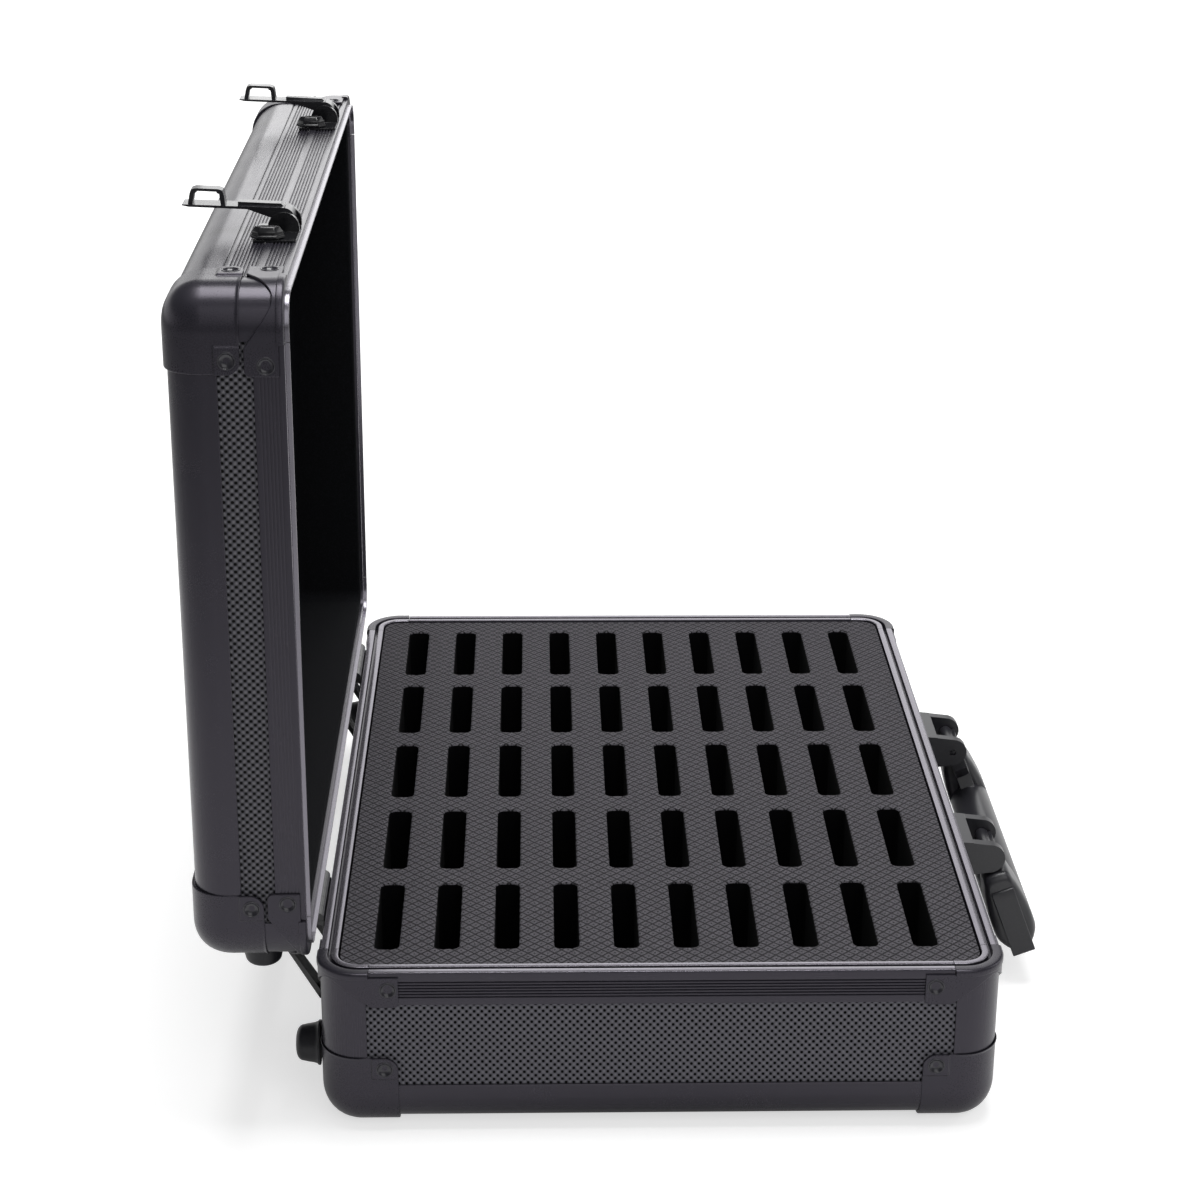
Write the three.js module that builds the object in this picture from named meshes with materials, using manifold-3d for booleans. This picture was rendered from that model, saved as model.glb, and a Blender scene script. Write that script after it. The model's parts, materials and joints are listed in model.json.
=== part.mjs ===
// Coin display case: two framed half shells on a pair of back hinges, a slotted foam tray in the base,
// two hasp latches and a swinging carrying handle. Millimetres, Z up, X along the hinge line, front at -Y.
// The case stands open at a right angle, as photographed.
import * as THREE from 'three';
import { mergeVertices } from 'three/addons/utils/BufferGeometryUtils.js';
import Module from 'manifold-3d';

const wasm = await Module();
wasm.setup();

// Driving sizes
const CASE_LENGTH = 432;
const CASE_WIDTH = 308;
const BASE_HEIGHT = 80;
const LID_HEIGHT = 50;
const CORNER_RADIUS = 18;
const EDGE_RADIUS = 16;
const SKIN = 0.9;
const FIT = 0.3;
const WALL = 6;
const FLOOR = 5;
const CLOSED_GAP = 0.4;

// Rim extrusion
const RIM_WIDTH = 8.4;
const RIM_DEPTH = 5.3;
const OUTER_LIP = 3.6;
const GROOVE = 1.6;
const GROOVE_DEPTH = 3;
const TONGUE = 1;
const TONGUE_HEIGHT = 1.8;
const LIP_BREAK = 0.6;
const INNER_SKIRT = 12;
const BASE_SKIRT = 16.5;
const BASE_FRONT_SKIRT = 14;
const LID_SKIRT = 13.2;
const RIB_COUNT = 6;
const RIB_PITCH = 1.5;
const RIB_WIDTH = 0.6;
const RIB_DEPTH = 0.45;
const BASE_RIB_START = 5;
const LID_RIB_START = 3;
const LID_FRONT_RIB_START = 14.6;
const LID_FRONT_RIB_COUNT = 8;

// Corner hardware
const PLATE = 1.1;
const STAND_OFF = 0.2;
const LIP_RUN = 4.7;
const TAB_RUN = 18;
const RIM_TAB = 17.4;
const LID_RIM_TAB = 16.7;
const RIM_APEX = 5;
const RIM_RAMP = 20;
const RIM_TAB_ROUND = 2.5;
const SKIRT_TOP = 1.6;
const TAB_TOP = 2.4;
const CAP_THICKNESS = 1.3;
const CAP_RUN = 17.2;
const CAP_TAB = 36.5;
const LID_CAP_TAB = 31.7;
const TAB_ROUND = 6;
const SOLE = 19;
const SOLE_ROUND = 1.6;
const CAP_HEM = 1.2;
const EDGE_LEG = 22;
const FRAME_LAP = 0.6;
const PANEL_FACE = 0.5;
const PANEL_BREAK = 0.1;
const SOLE_POCKET = 0.4;
const TRAY_CHAMFER = 2;
const POST_RUN = 3.4;

// Foam tray
const COLUMNS = 10;
const ROWS = 5;
const COLUMN_PITCH = 27.3;
const ROW_PITCH = 80;
const SLAB_WIDTH = 61.5;
const SLAB_THICKNESS = 9.1;
const SLAB_CLEARANCE = 2.3;
const SLOT_DEPTH = 68;
const SLOT_ROUND = 3.4;
const SLOT_SHIFT = 1.5;
const FOAM_GAP = 0.8;
const FOAM_DROP = 1;
const LINER = 3;

// Hinges
const HINGE_OFFSET = 3.5;
const HINGE_WIDTH = 44;
const HINGE_FROM_END = 73;
const KNUCKLE = 2.9;
const PIN = 1.1;
const LEAF = 1.2;
const BASE_LEAF_DROP = 36;
const LID_LEAF_RISE = 21;
const STOP_ANGLE = 30;
const STOP_WIDTH = 9;
const STOP_THICK = 1.4;
const STOP_LEAF = 18;
const STOP_TOE = 1.2;
const STOP_ROOT = 2.2;

// Feet
const FOOT_FROM_END = 29;
const FOOT_HEIGHT = 11.4;
const FOOT_RADIUS = 10.4;
const FOOT_TIP = 8;
const FOOT_RISE = 27.8;
const LID_FOOT_RISE = 27.4;

// Latches
const LATCH_FROM_END = 94;
const LATCH_PLATE = 1;
const LATCH_PLATE_RISE = 20;
const BODY_OFFSET = 10.7;
const BODY_WIDTH = 16;
const CHEEK = 2.5;
const CHEEK_RADIUS = 6.8;
const CHEEK_OUT = 2.9;
const HASP_PIN_RISE = 7.8;
const HASP_PIN_OUT = 6.2;
const HASP_HUB = 4.8;
const HASP_PIN = 1.5;
const HASP_LENGTH = 44.2;
const HASP_SHEET = 1.3;
const HASP_TILT = 2.4;
const HASP_LEDGE = 1.1;
const HASP_GUSSET = 3.2;
const LEDGE_END = 5.2;
const STAPLE_NEAR = 25.5;
const STAPLE_SPAN = 16.4;
const STAPLE_HEIGHT = 6.6;
const STAPLE_LEAN = 0.8;
const STAPLE_BAR = 2;
const STAPLE_WIDTH = 6.4;
const BUTTON_OFFSET = -8.8;
const BUTTON_LENGTH = 15;
const BUTTON_WIDTH = 8.5;
const BUTTON_HEIGHT = 5;
const BUTTON_RISE = 13.7;
const BUTTON_POINT = 3.5;
const BUTTON_STEP = 0.6;
const BUTTON_BEVEL = 1.6;
const BUTTON_TRAVEL = 5;
const SLIDER_LENGTH = 4.4;
const SLIDER_HEIGHT = 2.4;
const PLATE_LOW = 1.2;
const PLATE_ROUND = 1.5;
const KEEPER_SLACK = 1.7;
const KEEPER_SIDE = 0.8;
const KEEPER_WALL = 1.2;
const KEEPER_DEPTH = 7.6;
const KEEPER_SPAN = 22;
const KEEPER_LIP = 2.6;
const KEEPER_FLANGE = 1;

// Handle
const BRACKET_CENTRE = 63.5;
const BRACKET_WIDTH = 34;
const EAR = 5;
const BRACKET_BASE = 6.5;
const EAR_RADIUS = 7.6;
const EAR_ROOT = 9.4;
const HANDLE_PIN_OUT = 15.2;
const HANDLE_PIN_DROP = 13.7;
const HANDLE_PIN = 1.5;
const HANDLE_BARREL = 3.2;
const HANDLE_REACH = 54;
const HANDLE_HALF = 86;
const HANDLE_TILT = 21;
const CORE_OUT = 5;
const CORE_IN = 3;
const PAD_THICK = 21;
const PAD_INSET = 2;
const GRIP_DEPTH = 24;
const PIN_COVER = 1.4;
const PIN_PLAY = 0.6;

// Levels and places that follow from them
const BOTTOM = STAND_OFF + CAP_THICKNESS;
const RIM_Z = BOTTOM + BASE_HEIGHT;
const LID_RIM_Z = RIM_Z + CLOSED_GAP;
const PANEL = SKIN + FIT;
const FRAME_TAIL = CORNER_RADIUS - FRAME_LAP;
const HINGE_Y = CASE_WIDTH / 2 + HINGE_OFFSET;
const HINGE_Z = RIM_Z + CLOSED_GAP / 2;
const FRONT_Y = -CASE_WIDTH / 2;
const BACK_Y = CASE_WIDTH / 2;
const CORNER_STEPS = 5;
const EDGE_STEPS = 3;

// Materials
const paint = (name, color, roughness, metalness) => {
  const m = new THREE.MeshStandardMaterial({ color, roughness, metalness });
  m.name = name;
  return m;
};
const anodised = paint('grey anodised aluminium', 0x5b5a60, 0.42, 0.85);
const lip = paint('bright aluminium lip', 0x9a99a0, 0.35, 0.9);
const plated = paint('plated steel', 0x77767c, 0.3, 0.9);
const blackened = paint('blackened steel', 0x18181b, 0.4, 0.6);
const panelling = paint('grey panel', 0x4c4b50, 0.6, 0.2);
const foamGrey = paint('charcoal foam', 0x3b3b3e, 0.95, 0);
const lining = paint('black lining', 0x101012, 0.95, 0);
const rubber = paint('grey rubber', 0x4a4a4e, 0.8, 0);
const moulded = paint('moulded grip', 0x2b2b2e, 0.5, 0);

// Mesh helpers
const group = new THREE.Group();
group.name = 'coin_display_case';

const solidOf = (geometry) => {
  const g = geometry.clone();
  g.deleteAttribute('normal');
  g.deleteAttribute('uv');
  const m = mergeVertices(g, 1e-4);
  return new wasm.Manifold(new wasm.Mesh({
    numProp: 3,
    vertProperties: new Float32Array(m.attributes.position.array),
    triVerts: new Uint32Array(m.index.array),
  }));
};
const meshOf = (solid) => {
  const mesh = solid.getMesh();
  const g = new THREE.BufferGeometry();
  const points = new Float32Array(mesh.vertProperties);
  g.setAttribute('position', new THREE.BufferAttribute(points, 3));
  g.setIndex(new THREE.BufferAttribute(new Uint32Array(mesh.triVerts), 1));
  return g;
};
const join = (...parts) => meshOf(parts.map(solidOf).reduce((a, b) => a.add(b)));
const cut = (part, ...tools) => meshOf(tools.map(solidOf).reduce((a, b) => a.subtract(b), solidOf(part)));

const piece = (name, geometry, material, matrix) => {
  const g = geometry.clone();
  if (matrix) g.applyMatrix4(matrix);
  g.deleteAttribute('uv');
  g.deleteAttribute('normal');
  const merged = mergeVertices(g, 1e-4);
  merged.computeVertexNormals();
  const mesh = new THREE.Mesh(merged, material);
  mesh.name = name;
  group.add(mesh);
};

const polygonShape = (points, holes = []) => {
  const shape = new THREE.Shape(points.map(([x, y]) => new THREE.Vector2(x, y)));
  for (const hole of holes) shape.holes.push(new THREE.Path(hole.map(([x, y]) => new THREE.Vector2(x, y))));
  return shape;
};
const prism = (points, from, to, holes = []) => {
  const settings = { depth: to - from, bevelEnabled: false, steps: 1 };
  const g = new THREE.ExtrudeGeometry(polygonShape(points, holes), settings);
  g.translate(0, 0, from);
  return g;
};
const box = (x0, x1, y0, y1, z0, z1) => {
  const g = new THREE.BoxGeometry(x1 - x0, y1 - y0, z1 - z0);
  g.translate((x0 + x1) / 2, (y0 + y1) / 2, (z0 + z1) / 2);
  return g;
};
// A cylinder along X.
const rod = (radius, x0, x1, y, z, segments = 20) => {
  const g = new THREE.CylinderGeometry(radius, radius, x1 - x0, segments);
  g.rotateZ(-Math.PI / 2);
  g.translate((x0 + x1) / 2, y, z);
  return g;
};
// Turns a flat outline drawn as (y, z) into a slab between two X positions.
const slabX = (points, x0, x1, holes = []) => {
  const g = prism(points, x0, x1, holes);
  g.applyMatrix4(new THREE.Matrix4().makeBasis(
    new THREE.Vector3(0, 1, 0), new THREE.Vector3(0, 0, 1), new THREE.Vector3(1, 0, 0)));
  return g;
};
const arc = (cx, cy, r, from, to, steps) => {
  const out = [];
  for (let i = 0; i <= steps; i += 1) {
    const t = THREE.MathUtils.degToRad(from + (to - from) * i / steps);
    out.push([cx + r * Math.cos(t), cy + r * Math.sin(t)]);
  }
  return out;
};
const roundedBox = (x0, x1, y0, y1, r, steps = 3) => [
  ...arc(x1 - r, y0 + r, r, -90, 0, steps),
  ...arc(x1 - r, y1 - r, r, 0, 90, steps),
  ...arc(x0 + r, y1 - r, r, 90, 180, steps),
  ...arc(x0 + r, y0 + r, r, 180, 270, steps),
];

// Rings of equal count joined into one closed skin; the first and last rings are capped.
const skinned = (rings, closed = false) => {
  const n = rings[0].length;
  const positions = rings.flat(2);
  const index = [];
  const last = closed ? rings.length : rings.length - 1;
  for (let i = 0; i < last; i += 1) {
    const a = i * n;
    const b = ((i + 1) % rings.length) * n;
    for (let j = 0; j < n; j += 1) {
      const k = (j + 1) % n;
      index.push(a + j, a + k, b + k, a + j, b + k, b + j);
    }
  }
  return { positions, index, n, rings };
};
const finished = ({ positions, index }) => {
  const g = new THREE.BufferGeometry();
  g.setAttribute('position', new THREE.Float32BufferAttribute(positions, 3));
  g.setIndex(index);
  const volume = signedVolume(g);
  if (volume < 0) {
    const flipped = [];
    for (let i = 0; i < index.length; i += 3) flipped.push(index[i], index[i + 2], index[i + 1]);
    g.setIndex(flipped);
  }
  return g;
};
const signedVolume = (g) => {
  const p = g.attributes.position;
  const a = new THREE.Vector3();
  const b = new THREE.Vector3();
  const c = new THREE.Vector3();
  let total = 0;
  for (let i = 0; i < g.index.count; i += 3) {
    a.fromBufferAttribute(p, g.index.getX(i));
    b.fromBufferAttribute(p, g.index.getX(i + 1));
    c.fromBufferAttribute(p, g.index.getX(i + 2));
    total += a.dot(b.cross(c));
  }
  return total / 6;
};

// Stations along the outer outline. Each one gives a point at a distance u inside the outer face.
const cornerStations = (run) => {
  const out = [];
  const half = CORNER_RADIUS * Math.PI / 4;
  const runs = Array.isArray(run) ? run : [run];
  for (const t of [...runs].reverse()) out.push({ s: -half - t, at: (u) => [CORNER_RADIUS - u, -t] });
  for (let i = 0; i <= CORNER_STEPS; i += 1) {
    const a = Math.PI / 2 * i / CORNER_STEPS;
    const at = (u) => [(CORNER_RADIUS - u) * Math.cos(a), (CORNER_RADIUS - u) * Math.sin(a)];
    out.push({ s: -half + CORNER_RADIUS * a, at });
  }
  for (const t of runs) out.push({ s: half + t, at: (u) => [-t, CORNER_RADIUS - u] });
  return out;
};
const loopStations = () => {
  const out = [];
  const cx = CASE_LENGTH / 2 - CORNER_RADIUS;
  const cy = CASE_WIDTH / 2 - CORNER_RADIUS;
  const centres = [[cx, cy], [-cx, cy], [-cx, -cy], [cx, -cy]];
  centres.forEach(([x, y], q) => {
    for (let i = 0; i <= CORNER_STEPS; i += 1) {
      const a = Math.PI / 2 * (q + i / CORNER_STEPS);
      const at = (u) => [x + (CORNER_RADIUS - u) * Math.cos(a), y + (CORNER_RADIUS - u) * Math.sin(a)];
      out.push({ s: 0, at });
    }
  });
  return out;
};
// Carries a section, given as (u, z) points, along the stations.
const swept = (stations, sectionAt, closed = false) => {
  const rings = stations.map((st) => sectionAt(st).map(([u, z]) => [...st.at(u), z]));
  const skin = skinned(rings, closed);
  if (!closed) {
    const flat = sectionAt(stations[0]).map(([u, z]) => new THREE.Vector2(u, z));
    const faces = THREE.ShapeUtils.triangulateShape(flat, []);
    const end = (rings.length - 1) * skin.n;
    const clockwise = THREE.ShapeUtils.isClockWise(flat);
    for (const [a, b, c] of faces) {
      if (clockwise) skin.index.push(a, b, c, end + a, end + c, end + b);
      else skin.index.push(a, c, b, end + a, end + b, end + c);
    }
  }
  return finished(skin);
};
// A closed tray-shaped solid made of outlines at rising levels.
const pan = (levels) => {
  const stations = loopStations();
  const rings = levels.map(([u, z]) => stations.map((st) => [...st.at(u), z]));
  const skin = skinned(rings);
  const flat = rings[0].map(([x, y]) => new THREE.Vector2(x, y));
  const faces = THREE.ShapeUtils.triangulateShape(flat, []);
  const end = (rings.length - 1) * skin.n;
  for (const [a, b, c] of faces) skin.index.push(a, c, b, end + a, end + b, end + c);
  return finished(skin);
};

// Placement
const T = (x, y, z) => new THREE.Matrix4().makeTranslation(x, y, z);
const RX = (deg) => new THREE.Matrix4().makeRotationX(THREE.MathUtils.degToRad(deg));
const RZ = (deg) => new THREE.Matrix4().makeRotationZ(THREE.MathUtils.degToRad(deg));
const times = (...ms) => ms.reduce((a, b) => a.clone().multiply(b));
const basePlace = T(0, 0, BOTTOM);
const swingOpen = times(T(0, HINGE_Y, HINGE_Z), RX(-90), T(0, -HINGE_Y, -HINGE_Z));
const lidPlace = times(swingOpen, T(0, 0, LID_RIM_Z + LID_HEIGHT), RX(180));

const CORNERS = [
  { x: 1, y: 1, turn: 0 },
  { x: -1, y: 1, turn: 90 },
  { x: -1, y: -1, turn: 180 },
  { x: 1, y: -1, turn: 270 },
];
const atCorner = ({ x, y, turn }) => times(
  T(x * (CASE_LENGTH / 2 - CORNER_RADIUS), y * (CASE_WIDTH / 2 - CORNER_RADIUS), 0), RZ(turn));

// Half shells
const SIDES = [
  { turn: 0, reach: CASE_LENGTH / 2, span: CASE_WIDTH },
  { turn: 90, reach: CASE_WIDTH / 2, span: CASE_LENGTH },
  { turn: 180, reach: CASE_LENGTH / 2, span: CASE_WIDTH },
  { turn: 270, reach: CASE_WIDTH / 2, span: CASE_LENGTH },
];

// Grooves down the skirt's outer face, each as four corners, the lowest groove first.
const ribs = (from, count) => {
  const out = [];
  for (let i = count - 1; i >= 0; i -= 1) {
    const low = -from - i * RIB_PITCH - RIB_WIDTH / 2;
    const high = low + RIB_WIDTH;
    out.push([0, low], [RIB_DEPTH, low], [RIB_DEPTH, high], [0, high]);
  }
  return out;
};
// What lies between the two lips: a groove in the base, and the tongue that enters it in the lid.
const betweenLips = (tongued) => {
  const near = OUTER_LIP;
  const far = OUTER_LIP + GROOVE;
  const middle = (near + far) / 2;
  const t0 = middle - TONGUE / 2;
  const t1 = middle + TONGUE / 2;
  return tongued
    ? [[t0, 0], [t0, TONGUE_HEIGHT], [t1, TONGUE_HEIGHT], [t1, 0]]
    : [[near, 0], [near, -GROOVE_DEPTH], [far, -GROOVE_DEPTH], [far, 0]];
};
// Rim section as (u, v): u runs inward from the outer face, v upward from the rim plane.
const rimSection = (tongued, skirt, grooves) => [
  [0, -LIP_BREAK], [LIP_BREAK, 0], ...betweenLips(tongued),
  [RIM_WIDTH - LIP_BREAK, 0], [RIM_WIDTH, -LIP_BREAK], [RIM_WIDTH, -INNER_SKIRT],
  [RIM_WIDTH - SKIN, -INNER_SKIRT], [RIM_WIDTH - SKIN, -RIM_DEPTH], [SKIN, -RIM_DEPTH],
  [SKIN, -skirt], [0, -skirt], ...grooves,
];
const rimProfile = (height, reach, span, section) => {
  const half = span / 2 - CORNER_RADIUS - LIP_RUN - FIT / 2;
  const points = section.map(([u, v]) => [reach - u, height + v]);
  const g = prism(points, -half, half);
  g.applyMatrix4(new THREE.Matrix4().makeBasis(
    new THREE.Vector3(1, 0, 0), new THREE.Vector3(0, 0, 1), new THREE.Vector3(0, -1, 0)));
  return g;
};

// Level of the rim corner's lower edge: level at the middle, then a straight run down to the tabs.
const skirtEdge = (distance, tab) => RIM_APEX + (tab - RIM_APEX) * Math.min(1, distance / RIM_RAMP);

// How much a rounded tab corner takes off, this far from the tab's end.
const roundedOff = (left, radius) => {
  const corner = Math.max(0, radius - left);
  return radius - Math.sqrt(Math.max(0, radius ** 2 - corner ** 2));
};

// Rim corner: lips carried round the corner, and a curved skirt ending in two riveted tabs.
const rimCorner = (height, tongued, tab) => {
  const out = -STAND_OFF - PLATE;
  const lips = [
    [out, -PLATE], [out + PLATE, 0], ...betweenLips(tongued),
    [RIM_WIDTH - LIP_BREAK, 0], [RIM_WIDTH, -LIP_BREAK], [RIM_WIDTH, -RIM_DEPTH], [out, -RIM_DEPTH],
  ].map(([u, v]) => [u, height + v]);
  const upper = swept(cornerStations(LIP_RUN - FIT / 2), () => lips);
  const half = CORNER_RADIUS * Math.PI / 4;
  const skirtAt = ({ s }) => {
    const d = Math.abs(s);
    const foot = height - skirtEdge(d, tab) + roundedOff(half + TAB_RUN - d, RIM_TAB_ROUND);
    const head = height - (d > half + LIP_RUN ? TAB_TOP : SKIRT_TOP);
    return [[out, foot], [-STAND_OFF, foot], [-STAND_OFF, head], [out, head]];
  };
  const ramp = RIM_RAMP - half;
  const runs = [LIP_RUN, LIP_RUN + 0.01, ramp, TAB_RUN - RIM_TAB_ROUND, TAB_RUN - RIM_TAB_ROUND / 3, TAB_RUN];
  const skirt = swept(cornerStations(runs), skirtAt);
  return join(upper, skirt);
};

// Ball corner: one pressed cap over the bottom corner, tabs up both walls, flat sole underneath.
const ballCorner = (tab) => {
  const out = -STAND_OFF - CAP_THICKNESS;
  const end = CORNER_RADIUS * Math.PI / 4 + CAP_RUN;
  const inner = CORNER_RADIUS - CAP_HEM;
  const outerArc = arc(EDGE_RADIUS, EDGE_RADIUS, EDGE_RADIUS - out, 180, 270, EDGE_STEPS);
  const innerArc = arc(EDGE_RADIUS, EDGE_RADIUS, EDGE_RADIUS + STAND_OFF, 270, 180, EDGE_STEPS);
  const sectionAt = ({ s }) => {
    const top = tab - roundedOff(end - Math.abs(s), TAB_ROUND);
    return [[out, top], ...outerArc, [inner, out], [inner, -STAND_OFF], ...innerArc, [-STAND_OFF, top]];
  };
  const runs = [TAB_ROUND, TAB_ROUND * 0.55, TAB_ROUND * 0.22, 0].map((left) => CAP_RUN - left);
  const shell = swept(cornerStations(runs), sectionAt);
  const soleEnd = SOLE - CAP_RUN;
  const soleOutline = roundedBox(-CAP_RUN, soleEnd, -CAP_RUN, soleEnd, SOLE_ROUND, 1);
  const sole = prism(soleOutline, out, -STAND_OFF);
  return join(shell, sole);
};

// Vertical corner extrusion between the edge frame and the rim.
const cornerPost = (height) => {
  const section = [[0, EDGE_LEG + FIT], [SKIN, EDGE_LEG + FIT], [SKIN, height - RIM_DEPTH - FIT],
    [0, height - RIM_DEPTH - FIT]];
  return swept(cornerStations(POST_RUN), () => section);
};

// Edge extrusion frame round the outer panel, rounded section, mitred into one frame.
const edgeFrame = () => {
  const outer = arc(EDGE_RADIUS, EDGE_RADIUS, EDGE_RADIUS, 180, 270, EDGE_STEPS);
  const inner = arc(EDGE_RADIUS, EDGE_RADIUS, EDGE_RADIUS - SKIN, 270, 180, EDGE_STEPS);
  const section = [
    [0, EDGE_LEG], ...outer, [FRAME_TAIL, 0], [FRAME_TAIL, SKIN], ...inner, [SKIN, EDGE_LEG],
  ];
  return swept(loopStations(), () => section, true);
};

// Board tray of a half shell. Its panel steps out between the frame's edges, to just inside them, and is
// pressed back under the soles of the four ball corners.
const solePockets = () => {
  const reach = CORNER_RADIUS + CAP_RUN + FIT;
  return CORNERS.map(({ x, y }) => {
    const [x0, x1] = [CASE_LENGTH / 2 - reach, CASE_LENGTH / 2].map((v) => v * x).sort((a, b) => a - b);
    const [y0, y1] = [CASE_WIDTH / 2 - reach, CASE_WIDTH / 2].map((v) => v * y).sort((a, b) => a - b);
    return box(x0, x1, y0, y1, 0, PANEL_FACE + SOLE_POCKET);
  });
};
const carcass = (height, ...openings) => {
  const top = height - RIM_DEPTH - FIT;
  const edge = arc(EDGE_RADIUS, EDGE_RADIUS, EDGE_RADIUS - PANEL, 270, 180, EDGE_STEPS);
  const step = FRAME_TAIL + FIT;
  const solid = pan([[step + PANEL_BREAK, PANEL_FACE], [step, PANEL], ...edge, [PANEL, top]]);
  const inner = PANEL + WALL;
  const floor = PANEL + FLOOR;
  const cavity = pan([[inner + TRAY_CHAMFER, floor], [inner, floor + TRAY_CHAMFER], [inner, top + 1]]);
  return cut(solid, cavity, ...solePockets(), ...openings);
};

const buildShell = ({ half, height, place, tongued, skirts, grooves, capTab, rimTab, openings }) => {
  piece(`${half}_carcass`, carcass(height, ...openings), panelling, place);
  piece(`${half}_edge_frame`, edgeFrame(), anodised, place);
  const turned = half === 'lid';
  const labels = { 0: 'right', 90: turned ? 'front' : 'back', 180: 'left', 270: turned ? 'back' : 'front' };
  for (const { turn, reach, span } of SIDES) {
    const name = labels[turn];
    const skirt = skirts[name] ?? skirts.other;
    const section = rimSection(tongued, skirt, grooves[name] ?? grooves.other);
    piece(`${half}_rim_profile_${name}`, rimProfile(height, reach, span, section), anodised,
      times(place, RZ(turn)));
  }
  const cap = ballCorner(capTab);
  const rim = rimCorner(height, tongued, rimTab);
  const post = cornerPost(height);
  for (const corner of CORNERS) {
    const back = turned ? corner.y < 0 : corner.y > 0;
    const name = `${back ? 'back' : 'front'}_${corner.x > 0 ? 'right' : 'left'}`;
    const where = times(place, atCorner(corner));
    piece(`${half}_ball_corner_${name}`, cap, anodised, where);
    piece(`${half}_rim_corner_${name}`, rim, anodised, where);
    piece(`${half}_corner_post_${name}`, post, anodised, where);
  }
};

// Keeper pockets in the front wall of the base, in base shell coordinates.
const STAPLE_TOP_V = -(STAPLE_NEAR - HASP_PIN_RISE - CLOSED_GAP);
const STAPLE_LOW_V = STAPLE_TOP_V - STAPLE_SPAN;
const keeperTopV = STAPLE_TOP_V + KEEPER_SLACK;
const keeperLowV = STAPLE_LOW_V - KEEPER_SLACK;
const keeperHalf = STAPLE_WIDTH / 2 + KEEPER_SIDE;
const pocket = (x) => box(
  x - keeperHalf - KEEPER_WALL - FIT, x + keeperHalf + KEEPER_WALL + FIT,
  FRONT_Y - 1, FRONT_Y + PANEL + WALL + 1,
  BASE_HEIGHT + keeperLowV - KEEPER_WALL - FIT, BASE_HEIGHT + keeperTopV + KEEPER_WALL + FIT);
const LATCH_CENTRE = CASE_LENGTH / 2 - LATCH_FROM_END;
const LATCH_XS = [-LATCH_CENTRE + BODY_OFFSET, LATCH_CENTRE + BODY_OFFSET];

buildShell({
  half: 'base',
  height: BASE_HEIGHT,
  place: basePlace,
  tongued: false,
  skirts: { other: BASE_SKIRT, front: BASE_FRONT_SKIRT },
  grooves: { other: ribs(BASE_RIB_START, RIB_COUNT) },
  capTab: CAP_TAB,
  rimTab: RIM_TAB,
  openings: LATCH_XS.map(pocket),
});
const lidRibs = ribs(LID_RIB_START, RIB_COUNT);
buildShell({
  half: 'lid',
  height: LID_HEIGHT,
  place: lidPlace,
  tongued: true,
  skirts: { other: LID_SKIRT, front: LID_HEIGHT - EDGE_LEG - FIT },
  grooves: { other: lidRibs, front: [...ribs(LID_FRONT_RIB_START, LID_FRONT_RIB_COUNT), ...lidRibs] },
  capTab: LID_CAP_TAB,
  rimTab: LID_RIM_TAB,
  openings: [],
});

// Foam tray
const foamTop = BASE_HEIGHT - FOAM_DROP;
const foamInset = RIM_WIDTH + FOAM_GAP;
const slotLength = SLAB_WIDTH + SLAB_CLEARANCE;
const slotWidth = SLAB_THICKNESS + SLAB_CLEARANCE;
const foamFloor = PANEL + FLOOR + FIT;
const tray = pan([[foamInset + 2, foamFloor], [foamInset, foamFloor + 3], [foamInset, foamTop]]);
const slots = [];
for (let r = 0; r < ROWS; r += 1) {
  for (let c = 0; c < COLUMNS; c += 1) {
    const x = (r - (ROWS - 1) / 2) * ROW_PITCH;
    const y = (c - (COLUMNS - 1) / 2) * COLUMN_PITCH + SLOT_SHIFT;
    const outline = roundedBox(x - slotLength / 2, x + slotLength / 2, y - slotWidth / 2, y + slotWidth / 2,
      SLOT_ROUND, 2);
    slots.push(prism(outline, foamTop - SLOT_DEPTH, foamTop + 1));
  }
}
piece('base_foam_insert', cut(tray, ...slots), foamGrey, basePlace);

// Lid lining
const liningOut = RIM_WIDTH + FIT;
const liningIn = liningOut + LINER;
const liningFloor = PANEL + FLOOR + FIT;
const liningTop = LID_HEIGHT - 1.5;
piece('lid_lining', cut(
  pan([[liningOut + 2, liningFloor], [liningOut, liningFloor + 3], [liningOut, liningTop]]),
  pan([[liningIn + 3, liningFloor + LINER], [liningIn, liningFloor + LINER + 5], [liningIn, liningTop + 1]]),
), lining, lidPlace);

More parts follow.
